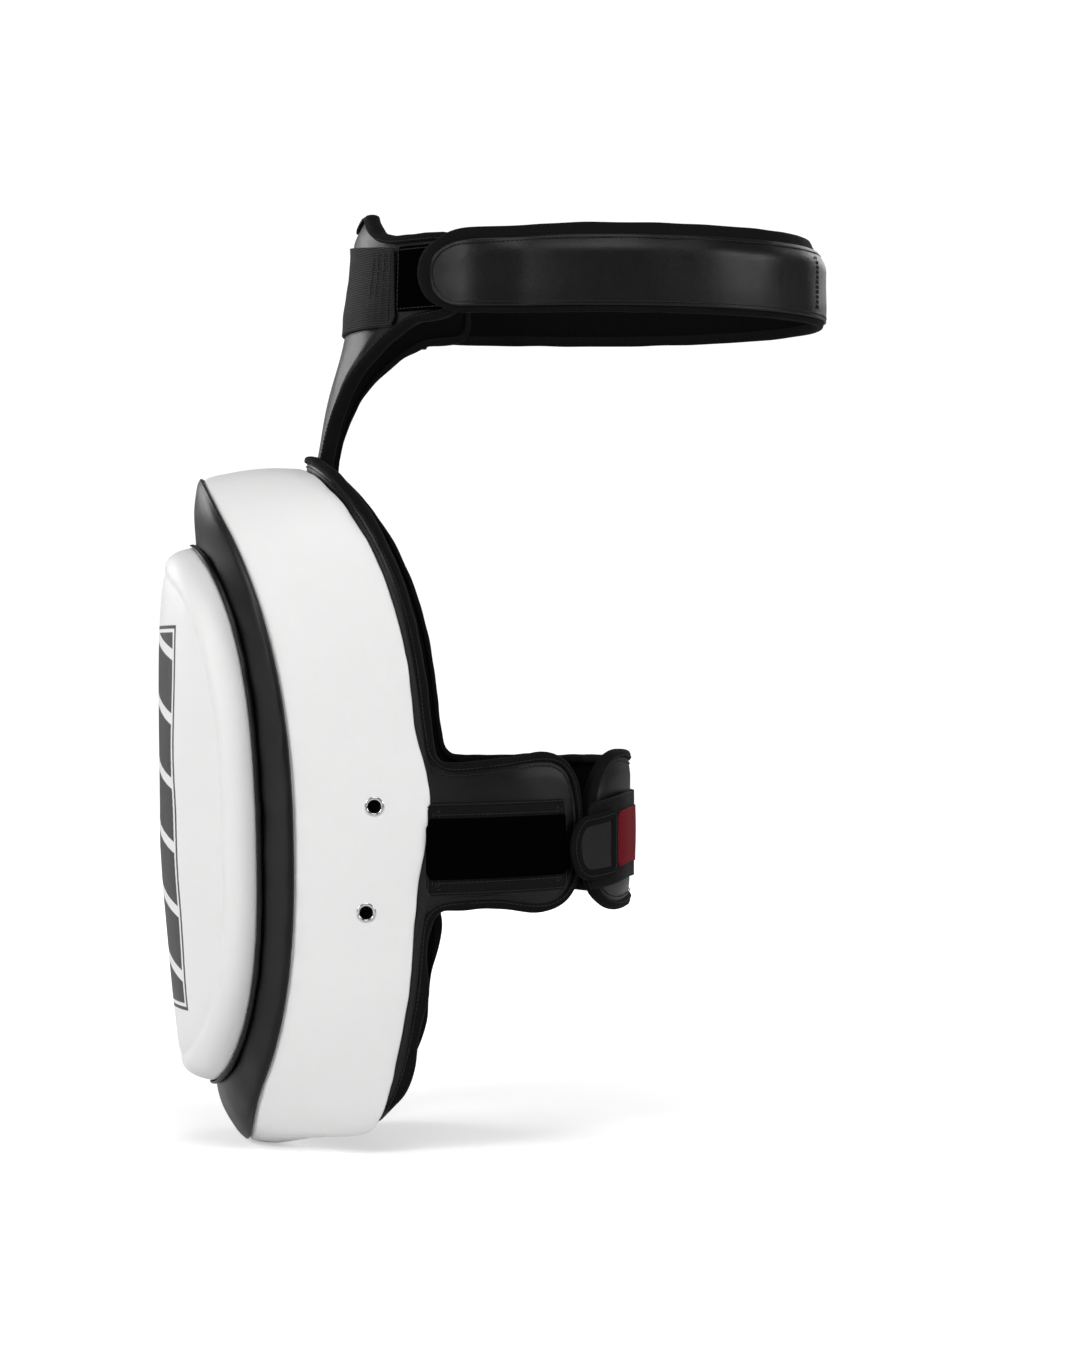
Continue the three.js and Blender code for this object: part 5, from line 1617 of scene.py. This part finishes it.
@dataclass
class WaistBelt(BoundAssembly):
    """The lined belt with its leather facing, folded tape and stitching."""

    core_height: float = 0.044
    core_thickness: float = 0.0035
    facing_thickness: float = 0.002
    tip: float = math.radians(51)
    tip_droop: float = 0.0045
    droop_length: float = math.radians(36)
    end: float = math.radians(312)
    round_length: float = 0.022
    cross_seam: float = math.radians(160)
    cross_seam_gap: float = 0.02

    def outline(self, inset: float, passes: int = 4) -> Outline:
        """The belt's closed outline, drawn in by an inset."""
        scale = float(BODY.waist_scale(np.array(self.tip)))
        half, turn = self.core_height / 2 - inset, inset / scale
        turns = np.radians(np.linspace(-90, 90, 25))
        round_angles = self.tip + turn + self.round_length / scale * (1 - np.cos(turns))
        angles = np.linspace(self.tip + self.round_length / scale, self.end - turn, 120)[1:]

        def droop(angle: Array) -> Array:
            """How much lower the upper edge is near the round end."""
            return self.tip_droop * (1 - eased(angle - self.tip, 0.0, self.droop_length))

        high = np.where(turns > 0, half - droop(round_angles), half)
        round_end = np.column_stack([round_angles, BODY.belt_middle_z + high * np.sin(turns)])
        upper = np.column_stack([angles, BODY.belt_middle_z + half - droop(angles)])
        lower = np.column_stack([angles, np.full(len(angles), BODY.belt_middle_z - half)])
        line = np.vstack([round_end, upper, lower[::-1]])[::-1]
        return Outline(BODY.belt, BODY.waist_scale, line, passes=passes)

    def build(self) -> None:
        """Builds and dresses the belt."""
        outline = self.outline(0.0)
        core = BoundPanel(
            outline, 0.0, self.core_thickness, rows=16, column_step=0.004, edge_pinch=0.0002,
            unevenness=0.0002, seed=61,
        ).build("waist_belt_core")
        dress(core, LINING.material(), "lining", "waist_belt")
        downwards = np.maximum(0.0, outline.along()[:, 0])
        tape = FoldedTape(
            outline, self.tape_width, -self.proud, self.core_thickness + self.proud, looseness=0.00012,
            seed=62, shares=1.05 - 0.45 * downwards + 0.4 * eased(np.abs(outline.along()[:, 1]), 0.5, 1.0),
        )
        binding = tape.build("waist_belt_tape")
        dress(binding, TAPE.material(), "binding", "waist_belt_binding")
        base = self.core_thickness + self.clearance
        facing_line = self.outline(-0.001)
        panel = BoundPanel(
            facing_line, base, base + self.facing_thickness, rows=22, column_step=0.003, edge_pinch=0.0005,
            unevenness=0.0004, wavelength=0.035, seed=63,
        )
        facing = panel.build("waist_belt_leather")
        dress(facing, BELT_LEATHER.material(), "black_leather", "waist_belt_facing")
        lift = base + self.facing_thickness
        self.stitches.sew(BODY.belt, facing_line.moved(-0.0025), lift, closed=True)
        for seam in (self.cross_seam, self.cross_seam + self.cross_seam_gap):
            reach = self.core_height / 2 - 0.003
            z = np.linspace(-reach, reach, 24) + BODY.belt_middle_z
            self.stitches.sew(BODY.belt, np.column_stack([np.full(24, seam), z]), lift + 0.0002)
        dress(self.stitches.build("belt_stitching"), THREAD.material(), "binding")


# The studio


@dataclass
class Studio:
    """A pale floor, soft light and the camera at the photograph's angle."""

    camera_place: tuple[float, float, float] = (-0.031, -2.2, -0.2565)
    lens: float = 88.0
    floor_z: float = -0.564
    floor_size: float = 60.0
    backdrop_strength: float = 1.05
    fill_strength: float = 0.16
    near_glow: float = 0.42
    far_glow: float = 0.95
    # Softboxes: place, target height, size and watts.
    softboxes: tuple[tuple[tuple[float, float, float], float, float, float], ...] = (
        ((-1.9, -2.0, 0.9), -0.2, 1.0, 30.0),
        ((2.6, -1.2, 0.8), -0.1, 1.0, 27.0),
        ((0.2, -1.6, 2.2), -0.2, 1.6, 28.0),
        ((-2.2, 1.6, 0.75), -0.1, 1.4, 27.0),
        ((-1.9, -0.7, -0.42), -0.44, 0.5, 2.2),
        ((1.4, 2.3, 1.0), -0.1, 1.4, 16.0),
    )

    def seen(
        self, bench: NodeBench, plain: bpy.types.NodeSocket, bright: bpy.types.NodeSocket
    ) -> bpy.types.Node:
        """Shows one shader to the lens and another to the guard."""
        sight = bench.add("ShaderNodeLightPath").outputs["Is Camera Ray"]
        return bench.add("ShaderNodeMixShader", {0: sight, 1: plain, 2: bright})

    def build_sky(self) -> None:
        """A white backdrop and a dimmer fill, so that black leather stays black."""
        world = bpy.data.worlds.new("studio")
        world.use_nodes = True
        world.node_tree.nodes.clear()
        bench = NodeBench(world.node_tree)
        white = (1.0, 1.0, 1.0, 1.0)
        fill = bench.add("ShaderNodeBackground", {0: white, 1: self.fill_strength}).outputs[0]
        backdrop = bench.add("ShaderNodeBackground", {0: white, 1: self.backdrop_strength}).outputs[0]
        bench.add("ShaderNodeOutputWorld", {0: self.seen(bench, fill, backdrop).outputs[0]})
        bpy.context.scene.world = world

    def build_floor(self) -> None:
        """A wide pale floor that meets the backdrop without a line."""
        clear_selection()
        bpy.ops.mesh.primitive_plane_add(size=self.floor_size, location=(0, 0, self.floor_z))
        floor = bpy.context.object
        floor.name = "studio_floor"
        material = bpy.data.materials.new("pale_floor")
        material.use_nodes = True
        material.node_tree.nodes.clear()
        bench = NodeBench(material.node_tree)
        paper = bench.add("ShaderNodeBsdfDiffuse", {0: (0.9, 0.9, 0.9, 1.0)}).outputs[0]
        place = bench.add("ShaderNodeTexCoord").outputs["Object"]
        away = bench.add("ShaderNodeVectorMath", {0: place}, operation="LENGTH").outputs["Value"]
        ramp = bench.add("ShaderNodeMapRange", {0: away, 1: 0.5, 2: 2.0, 3: self.near_glow, 4: self.far_glow})
        glow = bench.add("ShaderNodeEmission", {0: (1.0, 1.0, 1.0, 1.0), 1: ramp.outputs[0]}).outputs[0]
        lit = bench.add("ShaderNodeAddShader", {0: paper, 1: glow}).outputs[0]
        bench.add("ShaderNodeOutputMaterial", {0: self.seen(bench, paper, lit).outputs[0]})
        floor.data.materials.append(material)

    def build_lights(self) -> None:
        """Large softboxes round the guard."""
        for number, (place, height, size, watts) in enumerate(self.softboxes):
            light = bpy.data.lights.new(f"softbox_{number}", "AREA")
            light.size, light.energy = size, watts
            holder = bpy.data.objects.new(light.name, light)
            holder.location = place
            aim = Vector((-0.08, 0.0, height)) - Vector(place)
            holder.rotation_euler = aim.to_track_quat("-Z", "Y").to_euler()
            bpy.context.scene.collection.objects.link(holder)

    def build(self) -> None:
        """Makes the backdrop, the floor, the lights and the camera."""
        self.build_sky()
        self.build_floor()
        self.build_lights()
        bpy.context.scene.view_settings.view_transform = "Standard"
        camera = bpy.data.cameras.new("camera")
        camera.lens, camera.sensor_width = self.lens, 36.0
        holder = bpy.data.objects.new("camera", camera)
        holder.location = self.camera_place
        holder.rotation_euler = (math.pi / 2, 0.0, 0.0)
        bpy.context.scene.collection.objects.link(holder)
        bpy.context.scene.camera = holder


def main() -> None:
    """Builds the guard's assemblies and the studio in order."""
    logging.basicConfig(level=logging.INFO, format="%(relativeCreated)6d ms  %(message)s")
    Studio().build()
    for assembly in (KickPad(), ThighWrap(), HipHanger(), WaistBelt()):
        LOG.info("building %s", type(assembly).__name__)
        assembly.build()


if __name__ == "__main__":
    main()
